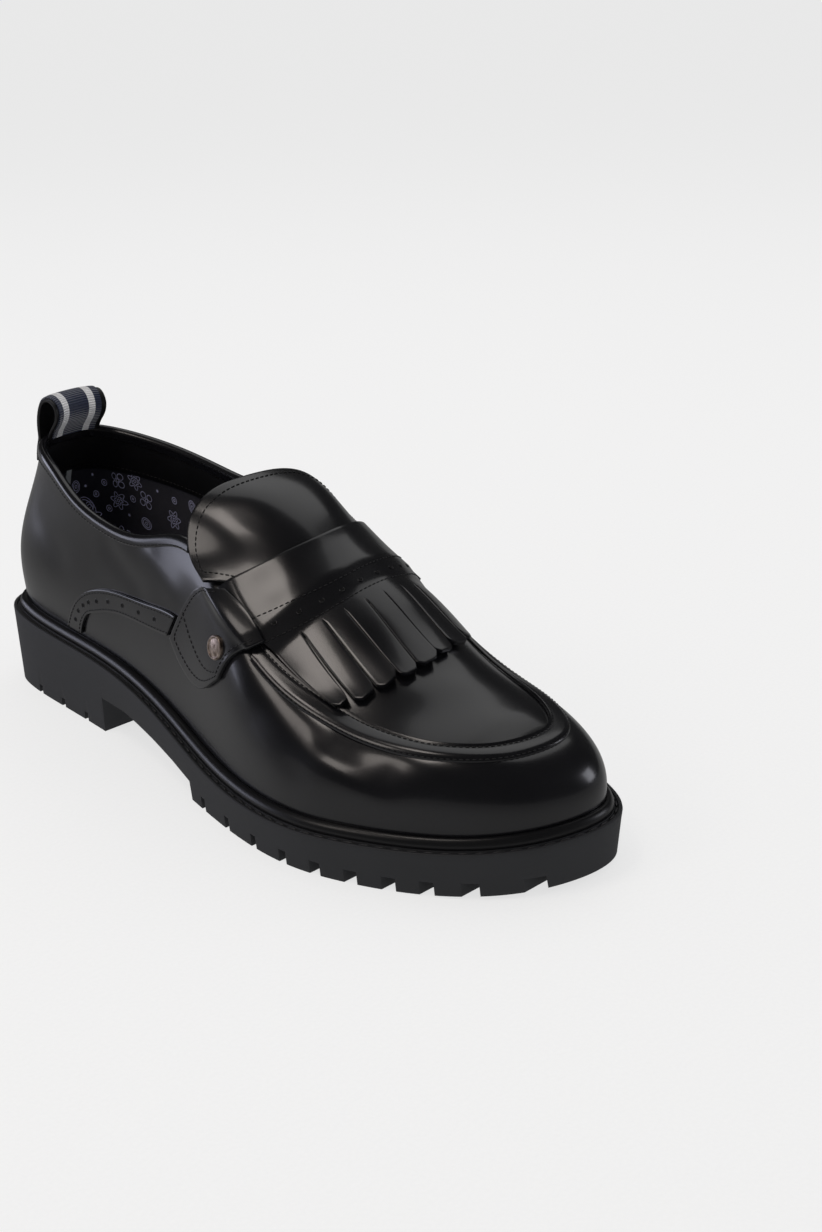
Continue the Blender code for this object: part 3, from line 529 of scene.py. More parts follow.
def grain_group():
    """Leather grain: colour, roughness and height that change over the surface."""
    name = "leather_grain"
    if name in bpy.data.node_groups:
        return bpy.data.node_groups[name]
    tree, given, out = group_tree(
        name,
        [("Color", "NodeSocketColor", (0.01, 0.01, 0.01, 1.0)),
         ("Cloud Color", "NodeSocketColor", (0.02, 0.02, 0.02, 1.0)),
         ("Grain Size", "NodeSocketFloat", 900.0),
         ("Roughness", "NodeSocketFloat", 0.2),
         ("Roughness Spread", "NodeSocketFloat", 0.08),
         ("Wave", "NodeSocketFloat", 0.5)],
        [("Color", "NodeSocketColor"), ("Roughness", "NodeSocketFloat"),
         ("Height", "NodeSocketFloat")])
    place = node(tree, "ShaderNodeTexCoord").outputs["Object"]
    cells = node(tree, "ShaderNodeTexVoronoi",
                 {"Vector": place, "Scale": given.outputs["Grain Size"]},
                 feature="SMOOTH_F1")
    fine = node(tree, "ShaderNodeTexNoise", {"Vector": place, "Scale": 2600.0, "Detail": 2.0})
    cloud = node(tree, "ShaderNodeTexNoise", {"Vector": place, "Scale": 45.0, "Detail": 3.0})
    wave = node(tree, "ShaderNodeTexNoise", {"Vector": place, "Scale": 28.0, "Detail": 1.0})
    mix = node(tree, "ShaderNodeMix", {"Factor": cloud.outputs["Fac"]}, data_type="RGBA")
    tree.links.new(given.outputs["Color"], mix.inputs[6])
    tree.links.new(given.outputs["Cloud Color"], mix.inputs[7])
    spread = node(tree, "ShaderNodeMath", {0: cloud.outputs["Fac"],
                                           1: given.outputs["Roughness Spread"]},
                  operation="MULTIPLY")
    rough = node(tree, "ShaderNodeMath", {0: given.outputs["Roughness"],
                                          1: spread.outputs[0]}, operation="ADD")
    grain = node(tree, "ShaderNodeMath", {0: cells.outputs["Distance"],
                                          1: fine.outputs["Fac"]}, operation="ADD")
    grain_low = node(tree, "ShaderNodeMath", {0: grain.outputs[0], 1: 0.008},
                     operation="MULTIPLY")
    waves = node(tree, "ShaderNodeMath", {0: wave.outputs["Fac"],
                                          1: given.outputs["Wave"]}, operation="MULTIPLY")
    height = node(tree, "ShaderNodeMath", {0: grain_low.outputs[0], 1: waves.outputs[0]},
                  operation="ADD")
    tree.links.new(mix.outputs[2], out.inputs["Color"])
    tree.links.new(rough.outputs[0], out.inputs["Roughness"])
    tree.links.new(height.outputs[0], out.inputs["Height"])
    return tree


def grained_material(name, colour, cloud, roughness, spread, wave, coat=0.0, grain=900.0,
                     bump=0.35):
    """Leather or rubber: grain, soft waves and a clear coat."""
    mat, tree = new_material(name)
    if tree is None:
        return mat
    shader = tree.nodes["Principled BSDF"]
    look = tree.nodes.new("ShaderNodeGroup")
    look.node_tree = grain_group()
    for socket, value in (("Color", (*colour, 1.0)), ("Cloud Color", (*cloud, 1.0)),
                          ("Grain Size", grain), ("Roughness", roughness),
                          ("Roughness Spread", spread), ("Wave", wave)):
        look.inputs[socket].default_value = value
    raised = node(tree, "ShaderNodeBump", {"Height": look.outputs["Height"],
                                           "Strength": bump, "Distance": 0.001})
    tree.links.new(look.outputs["Color"], shader.inputs["Base Color"])
    tree.links.new(look.outputs["Roughness"], shader.inputs["Roughness"])
    tree.links.new(raised.outputs["Normal"], shader.inputs["Normal"])
    shader.inputs["Coat Weight"].default_value = coat
    shader.inputs["Coat Roughness"].default_value = 0.12
    shader.inputs["Coat IOR"].default_value = 1.45
    return mat


def cloth_material(name, colour, cloud, threads):
    """Woven cloth, its threads following the piece's own UV map in millimetres."""
    mat, tree = new_material(name)
    if tree is None:
        return mat
    shader = tree.nodes["Principled BSDF"]
    place = node(tree, "ShaderNodeTexCoord").outputs["UV"]
    split = node(tree, "ShaderNodeSeparateXYZ", {0: place})
    waves = []
    for axis in ("X", "Y"):
        turn = node(tree, "ShaderNodeMath", {0: split.outputs[axis],
                                             1: 2 * math.pi / threads}, operation="MULTIPLY")
        waves.append(node(tree, "ShaderNodeMath", {0: turn.outputs[0]}, operation="SINE"))
    weave = node(tree, "ShaderNodeMath", {0: waves[0].outputs[0], 1: waves[1].outputs[0]},
                 operation="MULTIPLY")
    where = node(tree, "ShaderNodeTexCoord").outputs["Object"]
    patch = node(tree, "ShaderNodeTexNoise", {"Vector": where, "Scale": 120.0, "Detail": 3.0})
    mix = node(tree, "ShaderNodeMix", {"Factor": patch.outputs["Fac"]}, data_type="RGBA")
    mix.inputs[6].default_value = (*colour, 1.0)
    mix.inputs[7].default_value = (*cloud, 1.0)
    raised = node(tree, "ShaderNodeBump", {"Height": weave.outputs[0], "Strength": 0.35,
                                           "Distance": 0.0002})
    tree.links.new(mix.outputs[2], shader.inputs["Base Color"])
    tree.links.new(raised.outputs["Normal"], shader.inputs["Normal"])
    shader.inputs["Roughness"].default_value = 0.85
    shader.inputs["Sheen Weight"].default_value = 0.25
    return mat


def ribbon_material(name, blue, white):
    """Ribbed ribbon: UV x runs across it from 0 to 1, UV y along it in millimetres."""
    mat, tree = new_material(name)
    if tree is None:
        return mat
    shader = tree.nodes["Principled BSDF"]
    place = node(tree, "ShaderNodeTexCoord").outputs["UV"]
    split = node(tree, "ShaderNodeSeparateXYZ", {0: place})
    ramp = node(tree, "ShaderNodeValToRGB", {0: split.outputs["X"]})
    ramp.color_ramp.interpolation = "CONSTANT"
    stops = ((0.0, blue), (0.13, white), (0.28, blue), (0.72, white), (0.87, blue))
    elements = ramp.color_ramp.elements
    while len(elements) < len(stops):
        elements.new(0.5)
    for element, (place_x, colour) in zip(elements, stops):
        element.position = place_x
        element.color = (*colour, 1.0)
    turn = node(tree, "ShaderNodeMath", {0: split.outputs["Y"], 1: 2 * math.pi / 1.0},
                operation="MULTIPLY")
    ribs = node(tree, "ShaderNodeMath", {0: turn.outputs[0]}, operation="SINE")
    # the colour is up to 28 % darker where the ribs' bump is lowest: painted shade in the grooves
    # between the ribs
    shade = node(tree, "ShaderNodeMath", {0: ribs.outputs[0], 1: 0.14, 2: 0.86},
                 operation="MULTIPLY_ADD")
    rib_shaded_colour = node(tree, "ShaderNodeMix", {"Factor": 1.0}, data_type="RGBA",
                blend_type="MULTIPLY")
    tree.links.new(ramp.outputs["Color"], rib_shaded_colour.inputs[6])
    tree.links.new(shade.outputs[0], rib_shaded_colour.inputs[7])
    raised = node(tree, "ShaderNodeBump", {"Height": ribs.outputs[0], "Strength": 0.7,
                                           "Distance": 0.0003})
    tree.links.new(rib_shaded_colour.outputs[2], shader.inputs["Base Color"])
    tree.links.new(raised.outputs["Normal"], shader.inputs["Normal"])
    shader.inputs["Roughness"].default_value = 0.6
    shader.inputs["Sheen Weight"].default_value = 0.4
    return mat


def metal_material(name, colour, dark):
    mat, tree = new_material(name)
    if tree is None:
        return mat
    shader = tree.nodes["Principled BSDF"]
    place = node(tree, "ShaderNodeTexCoord").outputs["Object"]
    stain = node(tree, "ShaderNodeTexNoise", {"Vector": place, "Scale": 500.0, "Detail": 4.0})
    ramp = node(tree, "ShaderNodeValToRGB", {0: stain.outputs["Fac"]})
    ramp.color_ramp.elements[0].position = 0.35
    ramp.color_ramp.elements[0].color = (*dark, 1.0)
    ramp.color_ramp.elements[1].position = 0.6
    ramp.color_ramp.elements[1].color = (*colour, 1.0)
    rough = node(tree, "ShaderNodeMath", {0: stain.outputs["Fac"], 1: -0.3, 2: 0.55},
                 operation="MULTIPLY_ADD")
    raised = node(tree, "ShaderNodeBump", {"Height": stain.outputs["Fac"], "Strength": 0.3,
                                           "Distance": 0.0002})
    tree.links.new(ramp.outputs["Color"], shader.inputs["Base Color"])
    tree.links.new(rough.outputs[0], shader.inputs["Roughness"])
    tree.links.new(raised.outputs["Normal"], shader.inputs["Normal"])
    shader.inputs["Metallic"].default_value = 1.0
    return mat


def plain_material(name, colour, roughness):
    """Thread, ink and floor: one colour with a faint change over the surface."""
    mat, tree = new_material(name)
    if tree is None:
        return mat
    shader = tree.nodes["Principled BSDF"]
    place = node(tree, "ShaderNodeTexCoord").outputs["Object"]
    noise = node(tree, "ShaderNodeTexNoise", {"Vector": place, "Scale": 700.0})
    mix = node(tree, "ShaderNodeMix", {"Factor": noise.outputs["Fac"]}, data_type="RGBA")
    mix.inputs[6].default_value = (*colour, 1.0)
    mix.inputs[7].default_value = (*(c * 0.85 for c in colour), 1.0)
    tree.links.new(mix.outputs[2], shader.inputs["Base Color"])
    shader.inputs["Roughness"].default_value = roughness
    return mat


def polished():
    look = bpy.context.scene.loafer_look
    return grained_material("glossy_leather", look.leather, look.leather_cloud, 0.19, 0.10,
                            look.leather_wave, 0.4)


def thread():
    look = bpy.context.scene.loafer_look
    return plain_material("black_thread", look.thread, 0.55)


# Geometry Nodes for what repeats

def stitch_tree():
    """Stitches along every edge line of a piece."""
    name = "stitch_row"
    if name in bpy.data.node_groups:
        return bpy.data.node_groups[name]
    tree = bpy.data.node_groups.new(name, "GeometryNodeTree")
    face = tree.interface
    face.new_socket(name="Geometry", in_out="INPUT", socket_type="NodeSocketGeometry")
    for socket, default in (("Pitch", 0.0021), ("Length", 0.0016), ("Width", 0.0005)):
        made = face.new_socket(name=socket, in_out="INPUT", socket_type="NodeSocketFloat")
        made.default_value = default
        made.subtype = "DISTANCE"
    face.new_socket(name="Thread", in_out="INPUT", socket_type="NodeSocketMaterial")
    face.new_socket(name="Geometry", in_out="OUTPUT", socket_type="NodeSocketGeometry")
    given = tree.nodes.new("NodeGroupInput")
    out = tree.nodes.new("NodeGroupOutput")
    line = node(tree, "GeometryNodeMeshToCurve", {0: given.outputs["Geometry"]})
    spaced = node(tree, "GeometryNodeResampleCurve", {"Curve": line.outputs[0],
                                                      "Length": given.outputs["Pitch"]},
                  mode="LENGTH")
    tangent = node(tree, "GeometryNodeInputTangent")
    turned = node(tree, "FunctionNodeAlignRotationToVector", {"Vector": tangent.outputs[0]})
    turned.axis = "Z"
    half = node(tree, "ShaderNodeMath", {0: given.outputs["Length"], 1: 0.5},
                operation="MULTIPLY")
    thin = node(tree, "ShaderNodeMath", {0: given.outputs["Width"], 1: 0.5},
                operation="MULTIPLY")
    size = node(tree, "ShaderNodeCombineXYZ", {"X": thin.outputs[0], "Y": thin.outputs[0],
                                               "Z": half.outputs[0]})
    bead = node(tree, "GeometryNodeMeshUVSphere", {"Segments": 6, "Rings": 5, "Radius": 1.0})
    rows = node(tree, "GeometryNodeInstanceOnPoints",
                {"Points": spaced.outputs[0], "Instance": bead.outputs[0],
                 "Rotation": turned.outputs[0], "Scale": size.outputs[0]})
    real = node(tree, "GeometryNodeRealizeInstances", {0: rows.outputs[0]})
    done = node(tree, "GeometryNodeSetMaterial", {"Geometry": real.outputs[0],
                                                  "Material": given.outputs["Thread"]})
    tree.links.new(done.outputs[0], out.inputs["Geometry"])
    return tree


def hole_tree():
    """Punched holes: a dark floor inside a low rim, at each point of a piece."""
    name = "punched_holes"
    if name in bpy.data.node_groups:
        return bpy.data.node_groups[name]
    tree = bpy.data.node_groups.new(name, "GeometryNodeTree")
    face = tree.interface
    face.new_socket(name="Geometry", in_out="INPUT", socket_type="NodeSocketGeometry")
    for socket, default in (("Radius", 0.001), ("Rim", 0.0)):
        made = face.new_socket(name=socket, in_out="INPUT", socket_type="NodeSocketFloat")
        made.default_value = default
        made.subtype = "DISTANCE"
    face.new_socket(name="Finish", in_out="INPUT", socket_type="NodeSocketMaterial")
    face.new_socket(name="Geometry", in_out="OUTPUT", socket_type="NodeSocketGeometry")
    given = tree.nodes.new("NodeGroupInput")
    out = tree.nodes.new("NodeGroupOutput")
    facing = node(tree, "GeometryNodeInputNamedAttribute", {"Name": "facing"},
                  data_type="FLOAT_VECTOR")
    turned = node(tree, "FunctionNodeAlignRotationToVector", {"Vector": facing.outputs[0]})
    turned.axis = "Z"
    # a filled disc for the hole's dark floor: painted shade in place of the shaded inside of a
    # cut hole
    shade_disc = node(tree, "GeometryNodeMeshCircle", {"Vertices": 16,
                                                 "Radius": given.outputs["Radius"]},
                fill_type="NGON")
    ring = node(tree, "GeometryNodeCurvePrimitiveCircle", {"Resolution": 16,
                                                           "Radius": given.outputs["Radius"]})
    wire = node(tree, "GeometryNodeCurvePrimitiveCircle", {"Resolution": 6,
                                                           "Radius": given.outputs["Rim"]})
    torus = node(tree, "GeometryNodeCurveToMesh", {"Curve": ring.outputs[0],
                                                   "Profile Curve": wire.outputs[0]})
    has_rim = node(tree, "FunctionNodeCompare", {0: given.outputs["Rim"], 1: 0.000001},
                   data_type="FLOAT", operation="GREATER_THAN")
    shape = node(tree, "GeometryNodeSwitch", input_type="GEOMETRY")
    tree.links.new(has_rim.outputs[0], shape.inputs["Switch"])
    tree.links.new(shade_disc.outputs[0], shape.inputs["False"])
    tree.links.new(torus.outputs[0], shape.inputs["True"])
    holes = node(tree, "GeometryNodeInstanceOnPoints",
                 {"Points": given.outputs["Geometry"], "Instance": shape.outputs[0],
                  "Rotation": turned.outputs[0]})
    real = node(tree, "GeometryNodeRealizeInstances", {0: holes.outputs[0]})
    done = node(tree, "GeometryNodeSetMaterial", {"Geometry": real.outputs[0],
                                                  "Material": given.outputs["Finish"]})
    tree.links.new(done.outputs[0], out.inputs["Geometry"])
    return tree


def with_tree(obj, tree, values):
    """Run a Geometry Nodes tree on a piece with these inputs, and keep the plain mesh."""
    modifier = obj.modifiers.new(tree.name, "NODES")
    modifier.node_group = tree
    for item in tree.interface.items_tree:
        if item.in_out == "INPUT" and item.name in values:
            modifier[item.identifier] = values[item.name]
    finished(obj, 3.2)
    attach(obj, "root")
    return obj


def stitches(name, lines, pitch, length, width, finish=None):
    """Stitches along lines of points in shoe millimetres."""
    points, edges = [], []
    for line in lines:
        offset = len(points)
        points.extend(at(line).tolist())
        edges.extend((offset + i, offset + i + 1) for i in range(len(line) - 1))
    mesh = bpy.data.meshes.new(name)
    mesh.from_pydata(points, edges, [])
    obj = bpy.data.objects.new(name, mesh)
    bpy.context.scene.collection.objects.link(obj)
    values = {"Pitch": pitch * MM, "Length": length * MM, "Width": width * MM,
              "Thread": finish or thread()}
    return with_tree(obj, stitch_tree(), values)


def holes(name, points, normals, radius):
    """Punched holes at points in shoe millimetres, facing along the normals."""
    # the hole floors are matte discs darker than the leather, painted shade for the insides of
    # the holes, which are not cut
    dark = plain_material("hole_dark", (0.0015, 0.0015, 0.0015), 0.9)
    for part, rim, finish, lift in (("floors", 0.0, dark, 0.06), ("rims", 0.13, polished(), 0.0)):
        mesh = bpy.data.meshes.new(name + "_" + part)
        mesh.from_pydata(at(points + normals * lift).tolist(), [], [])
        facing = np.stack([-normals[:, 1], -normals[:, 0], normals[:, 2]], -1)
        stored = mesh.attributes.new("facing", "FLOAT_VECTOR", "POINT")
        stored.data.foreach_set("vector", facing.astype(np.float32).ravel())
        obj = bpy.data.objects.new(name + "_" + part, mesh)
        bpy.context.scene.collection.objects.link(obj)
        values = {"Radius": radius * MM, "Rim": rim * MM, "Finish": finish}
        with_tree(obj, hole_tree(), values)


# The pieces

def upper_points():
    """Points and faces of the upper's outer skin."""
    per = 8
    columns = ring_sections(per)
    count = len(columns)
    shares = np.linspace(0, 1, 41)
    points = [wall(columns, share) for share in shares]
    faces = grid_faces(len(shares), count, ring=True)
    top = (len(shares) - 1) * count
    points = list(np.vstack(points))
    cells = 40
    first, toe = THROAT * per, int(TOE) * per
    rows = []
    for i in range(first, toe):
        inner = instep(np.full(cells - 1, i / per), np.arange(1, cells) / cells)
        rows.append([top + i] + list(range(len(points), len(points) + cells - 1))
                    + [top + count - i])
        points.extend(inner)
    for a, b in zip(rows, rows[1:]):
        for j in range(cells):
            faces.append((a[j], b[j], b[j + 1], a[j + 1]))
    for j in range(cells):
        faces.append((rows[-1][j], top + toe, rows[-1][j + 1]))
    return np.array(points), faces


def vertex_normals(points, faces):
    normals = np.zeros_like(points)
    for face in faces:
        corners = points[list(face)]
        normals[list(face)] += np.cross(corners, np.roll(corners, -1, axis=0)).sum(0)
    normals /= np.maximum(np.linalg.norm(normals, axis=1, keepdims=True), 1e-9)
    middle = points.mean(0)
    return normals if np.sum(normals * (points - middle)) > 0 else -normals


def build_upper():
    points, faces = upper_points()
    normals = vertex_normals(points, faces)
    points = points + normals * relief(points, CREASES)[:, None]
    back = points - normals * LEATHER
    closed, closed_faces = thick(points, back, faces)
    obj = mesh_piece("upper_leather", closed, closed_faces, polished(), 0.9)
    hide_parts("upper")
    return obj


SURFACE = {}


def surface_below(points):
    """Drop points straight down onto the outer skin."""
    if "tree" not in SURFACE:
        base, faces = upper_points()
        SURFACE["tree"] = BVHTree.FromPolygons([Vector(p) for p in base],
                                               [tuple(face) for face in faces])
    dropped = np.array(points, float)
    for place in dropped.reshape(-1, 3):
        hit = SURFACE["tree"].ray_cast(Vector((place[0], place[1], place[2] + 40.0)),
                                       Vector((0, 0, -1)))
        if hit[0] is not None:
            place[2] = hit[0].z
    return dropped


def wall_run(u, distance):
    """Point of the wall at a distance below the top line, measured along the wall."""
    shares = np.linspace(0.3, 1.0, 141)
    result = []
    for station, far in zip(np.atleast_1d(u), np.broadcast_to(distance, np.shape(u))):
        line = wall(np.full(141, station), shares)
        away = np.linalg.norm(line - line[-1], axis=1)
        result.append(wall(station, np.interp(far, away[::-1], shares[::-1])))
    return np.array(result)


SEAM_ENDS = 9.6

# Profile of the apron's rolled seam: distance from the top line (outer side negative) and
# height over the skin
SEAM_PROFILE = (
    (-3.7, 0.05), (-3.5, 0.6), (-3.1, 0.9), (-2.2, 1.3), (-1.1, 1.55), (0.1, 1.6),
    (1.2, 1.45), (2.0, 1.15), (2.4, 0.95), (2.6, 1.0), (2.95, 1.35), (3.35, 1.4), (3.65, 1.05),
    (3.7, 0.05),
)


def seam_lines(u, rows):
    """Lines along the apron seam, one for each (distance, height) row."""
    corner = section(u)[:, 2:5]
    along = np.gradient(corner, axis=0)
    inward = np.stack([along[:, 1], -along[:, 0], np.zeros(len(u))], -1)
    inward /= np.linalg.norm(inward, axis=1, keepdims=True)
    up = np.array([0.0, 0.0, 1.0])
    wall_normal = skin_normal(u, np.full(len(u), 0.93))
    lines = []
    for distance, height in rows:
        if distance <= 0:
            base = wall_run(u, -distance)
        else:
            base = surface_below(corner + inward * distance)
        blend = np.clip((distance + 3.7) / 7.4, 0, 1)
        direction = wall_normal * (1 - blend) + up * blend
        direction /= np.linalg.norm(direction, axis=1, keepdims=True)
        lines.append(base + direction * height)
    return lines


def build_seam():
    u = np.arange(SEAM_ENDS, ROUND - SEAM_ENDS + 0.05, 0.1)
    points, faces = swept(seam_lines(u, SEAM_PROFILE))
    obj = mesh_piece("apron_seam_roll", points, faces, polished(), 1.0)
    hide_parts("apron_seam")
    size = bpy.context.scene.loafer_sizes
    outer, inner = seam_lines(u, ((-3.25, 0.85), (2.45, 1.0)))
    stitches("apron_seam_stitches", [outer, inner], size.stitch_pitch, size.stitch_length,
             size.thread_width)


def build_binding():
    u = np.concatenate([np.arange(-8.0, 8.0, 0.125), [8.0]])
    u = np.mod(u, ROUND)
    top = section(u)[:, 2:5]
    side = outward_level(u)
    up = np.array([0.0, 0.0, 1.0])
    inside = -(WALL + 0.2)

    def place(out, drop):
        if drop > 0:
            return wall(u, drop_share(u, drop)) + side * out
        return top + side * out - up * drop

    outer = [(0.15, 3.7), (0.75, 3.6), (1.0, 3.2), (1.1, 2.2), (1.1, 0.6), (0.85, -0.7)]
    crown = [(0.1, -1.5), (-0.9, -1.8), (-1.9, -1.5)]
    inner = [(inside - 0.65, -0.7), (inside - 0.8, 0.6), (inside - 0.8, 3.4),
             (inside - 0.1, 3.7), (inside - 0.1, 0.0), (0.15, 0.0)]
    points, faces = swept([place(*row) for row in outer + crown + inner])
    obj = mesh_piece("collar_binding_leather", points, faces, polished(),
                     1.0)
    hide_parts("collar_binding")
    size = bpy.context.scene.loafer_sizes
    stitches("collar_stitches", [place(1.12, 2.6)], size.stitch_pitch, size.stitch_length,
             size.thread_width)


def band_line(table, shares):
    return spline(np.linspace(0, 1, len(table)), table)(shares)


def build_bands():
    size = bpy.context.scene.loafer_sizes
    count, lanes = 90, 13
    shares = np.linspace(0, 1, count)
    for side_name, medial in (("lateral", False), ("medial", True)):
        def place(across, along, lift):
            start, end = band_line(BAND_OUTER, along), band_line(BAND_INNER, along)
            spot = start + (end - start) * np.asarray(across)[..., None]
            u = ROUND - spot[..., 0] if medial else spot[..., 0]
            return over_skin(u, spot[..., 1], lift), skin_normal(u, spot[..., 1])

        grid_across = np.linspace(0, 1, lanes)[:, None] + np.zeros(count)
        grid_along = shares + np.zeros((lanes, 1))
        front = place(grid_across, grid_along, np.full((lanes, count), 1.3))[0]
        back = place(grid_across, grid_along, np.full((lanes, count), 0.05))[0]
        points, faces = thick(front.reshape(-1, 3), back.reshape(-1, 3),
                              grid_faces(lanes, count))
        obj = mesh_piece("brogue_band_leather_" + side_name, points, faces, polished())
        eased(obj, 0.4)
        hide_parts("brogue_band_" + side_name)
        along = np.linspace(0.01, 0.99, 60)
        lines = [place(np.full(60, across), along, np.full(60, 1.35))[0]
                 for across in (0.14, 0.86)]
        stitches("brogue_band_stitches_" + side_name, lines, size.stitch_pitch,
                 size.stitch_length, size.thread_width)
        spots, facing = place(np.full(len(BAND_HOLES), 0.5), np.array(BAND_HOLES),
                              np.full(len(BAND_HOLES), 1.3))
        holes("brogue_holes_" + side_name, spots, facing, size.hole_radius)


def tongue_surface(columns, free_rows):
    table = np.array(TONGUE_EDGE)
    steps = np.linalg.norm(np.diff(table, axis=0), axis=1)
    length = np.concatenate([[0], np.cumsum(steps)])
    rear = spline(length, table)(np.linspace(0, length[-1], columns))
    stations = np.interp(np.linspace(0, 2, 8), (0, 1, 2), [row[0] for row in TONGUE_UNDER])
    sides = np.interp(np.linspace(0, 2, 8), (0, 1, 2), [row[1] for row in TONGUE_UNDER])
    under = []
    for station, side in zip(stations, sides):
        across = np.linspace(side, 1 - side, columns)
        under.append(over_skin(station, 1 + across, np.full(columns, 2.4)))
    arch = np.sin(np.pi * np.linspace(0, 1, columns))[:, None] * np.array([0.0, 0.0, 1.0])
    lines = []
    for i in range(free_rows):
        share = i / free_rows
        lines.append(rear + (under[0] - rear) * share + arch * 3.0 * np.sin(np.pi * share))
    return np.array(lines + under)


# Dents of the tongue: place along from its rear edge and across, both as shares, half-widths
# in the same shares, and depth in mm
TONGUE_DENTS = (
    (0.50, 0.32, 0.25, 0.06, -0.5), (0.35, 0.44, 0.25, 0.08, 0.35), (0.6, 0.62, 0.3, 0.12, -0.3),
    (0.3, 0.75, 0.2, 0.10, 0.25),
)


def dented(surface, dents, free):
    """Push soft dents into a grid along its z axis."""
    rows, columns = surface.shape[:2]
    along = (np.arange(rows) / free)[:, None]
    across = np.linspace(0, 1, columns)[None, :]
    for place_along, place_across, half_along, half_across, depth in dents:
        shape = np.exp(-((along - place_along) / half_along) ** 2
                       - ((across - place_across) / half_across) ** 2)
        surface[..., 2] += depth * shape
    return surface


def build_tongue():
    size = bpy.context.scene.loafer_sizes
    columns, free_rows = 73, 36
    surface = dented(tongue_surface(columns, free_rows), TONGUE_DENTS, free_rows)
    points, faces = sheet(surface, TONGUE_THICKNESS, grid_faces(len(surface), columns))
    obj = mesh_piece("tongue_leather", points, faces, polished())
    eased(obj, 0.5)
    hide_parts("tongue")
    inset = 4
    rim = np.concatenate([surface[free_rows:inset:-1, 3], surface[inset, 3:-3],
                          surface[inset:free_rows, -4]])
    stitches("tongue_stitches", [rim + np.array([0, 0, 0.12])], size.stitch_pitch,
             size.stitch_length, size.thread_width)


def kiltie_lift(u, share):
    """Height of the strap's underside over the skin: on the tongue, or down to the apron."""
    over_tongue = np.interp(u, (9.5, 9.85), (2.8, 0.6))
    inside = np.clip(np.minimum(share - 1.0, 2.0 - share) / 0.075, 0, 1)
    return 0.6 + (over_tongue - 0.6) * inside ** 2 * (3 - 2 * inside)


def build_kiltie():
    size = bpy.context.scene.loafer_sizes
    cells, strap_rows, strip_rows = 10, 26, 30
    roots = [ROOT_SIDES[0]] + [slit[0] for slit in SLITS] + [ROOT_SIDES[1]]
    ends = [TIP_SIDES[0]] + [slit[1] for slit in SLITS] + [TIP_SIDES[1]]
    root_sections = [9.8] + [slit[2] for slit in SLITS] + [9.8]
    places, faces, lines = [], [], []

    def add(u, share, along, twist):
        places.append((u, share, along, twist))
        return len(places) - 1

    columns = len(STRIPS) * cells + 1
    knots = np.arange(columns) / cells
    across = np.interp(knots, np.arange(len(roots)), roots)
    root = np.interp(knots, np.arange(len(roots)), root_sections)
    for i in range(strap_rows + 1):
        share = i / strap_rows
        start = np.interp(across, ROOT_SIDES, STRAP_SIDES)
        lines.append([add(STRAP_TOP + (root[j] - STRAP_TOP) * share,
                          start[j] + (across[j] - start[j]) * share, 0.0, 0.0)
                      for j in range(columns)])
    for a, b in zip(lines, lines[1:]):
        for j in range(columns - 1):
            faces.append((a[j], b[j], b[j + 1], a[j + 1]))
    for k, (tip, tip_lift, twist) in enumerate(STRIPS):
        above = lines[-1][k * cells:(k + 1) * cells + 1]
        for i in range(1, strip_rows + 1):
            share = i / strip_rows
            low = roots[k] + (ends[k] - roots[k]) * share + (SLIT_GAP if k else 0.0)
            high = (roots[k + 1] + (ends[k + 1] - roots[k + 1]) * share
                    - (SLIT_GAP if k < len(STRIPS) - 1 else 0.0))
            below = []
            for j in range(cells + 1):
                local = j / cells
                start = root[k * cells + j]
                off_middle = max(abs(2 * local - 1) - 0.6, 0.0) / 0.4
                end = tip - TIP_CHAMFER * off_middle
                u = start + (end - start) * share
                crown = 0.1 * (1 - (2 * local - 1) ** 2)
                below.append(add(u, low + (high - low) * local, share,
                                 (tip_lift + twist * (local - 0.5)) * share ** 1.5
                                 + crown * min(4 * share, 1.0)))
            for j in range(cells):
                faces.append((above[j], below[j], below[j + 1], above[j + 1]))
            above = below
    u, share, along, lifts = np.array(places).T
    lift = kiltie_lift(u, share) + lifts
    lift += strap_relief(u, share)
    front = over_skin(u, share, lift + STRAP_THICKNESS)
    back = over_skin(u, share, lift)
    points, closed = thick(front, back, faces)
    obj = mesh_piece("strap_and_fringe", points, closed, polished())
    eased(obj, 0.15)
    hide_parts("strap_and_kiltie")

    lines = []
    for table in (STRAP_SEAM_UPPER, STRAP_SEAM_LOWER):
        places = band_line(table, np.linspace(0, 1, 120))
        lines.append(strap_top(places[:, 0], places[:, 1], 0.06))
    stitches("strap_stitches", lines, size.stitch_pitch, size.stitch_length,
             size.thread_width)
    middle = (band_line(STRAP_SEAM_UPPER, np.linspace(0.08, 0.92, STRAP_HOLE_COUNT))
              + band_line(STRAP_SEAM_LOWER, np.linspace(0.08, 0.92, STRAP_HOLE_COUNT))) / 2
    spots = strap_top(middle[:, 0], middle[:, 1], 0.0)
    holes("strap_holes", spots, skin_normal(middle[:, 0], middle[:, 1]), size.hole_radius)


# Soft troughs and ridges of the strap: section and share of the middle, half-widths in
# sections and in shares, height in mm
STRAP_WAVES = (
    (9.10, 1.16, 0.30, 0.07, -0.35), (9.00, 1.30, 0.30, 0.08, 0.3), (9.45, 1.22, 0.2, 0.08, 0.2),
    (9.15, 1.55, 0.30, 0.12, 0.3), (9.2, 1.80, 0.3, 0.10, -0.25),
)


def strap_relief(u, share):
    height = np.zeros(np.shape(u))
    for place_u, place_share, half_u, half_share, rise in STRAP_WAVES:
        height += rise * np.exp(-((u - place_u) / half_u) ** 2
                                - ((share - place_share) / half_share) ** 2)
    return height


def strap_top(u, share, lift):
    """Point on the strap's outer face."""
    under = kiltie_lift(u, share) + strap_relief(u, share)
    return over_skin(u, share, under + STRAP_THICKNESS + lift)


def tab_place(across, along):
    """Section and share on a tab: across its width, along from the fold to its rounded end."""
    top = spline(np.linspace(0, 1, len(TAB_FOLD)), TAB_FOLD)(across)
    low = spline(np.linspace(0, 1, len(TAB_LOWER_EDGE)), TAB_LOWER_EDGE)(across)
    return top + (low - top) * along


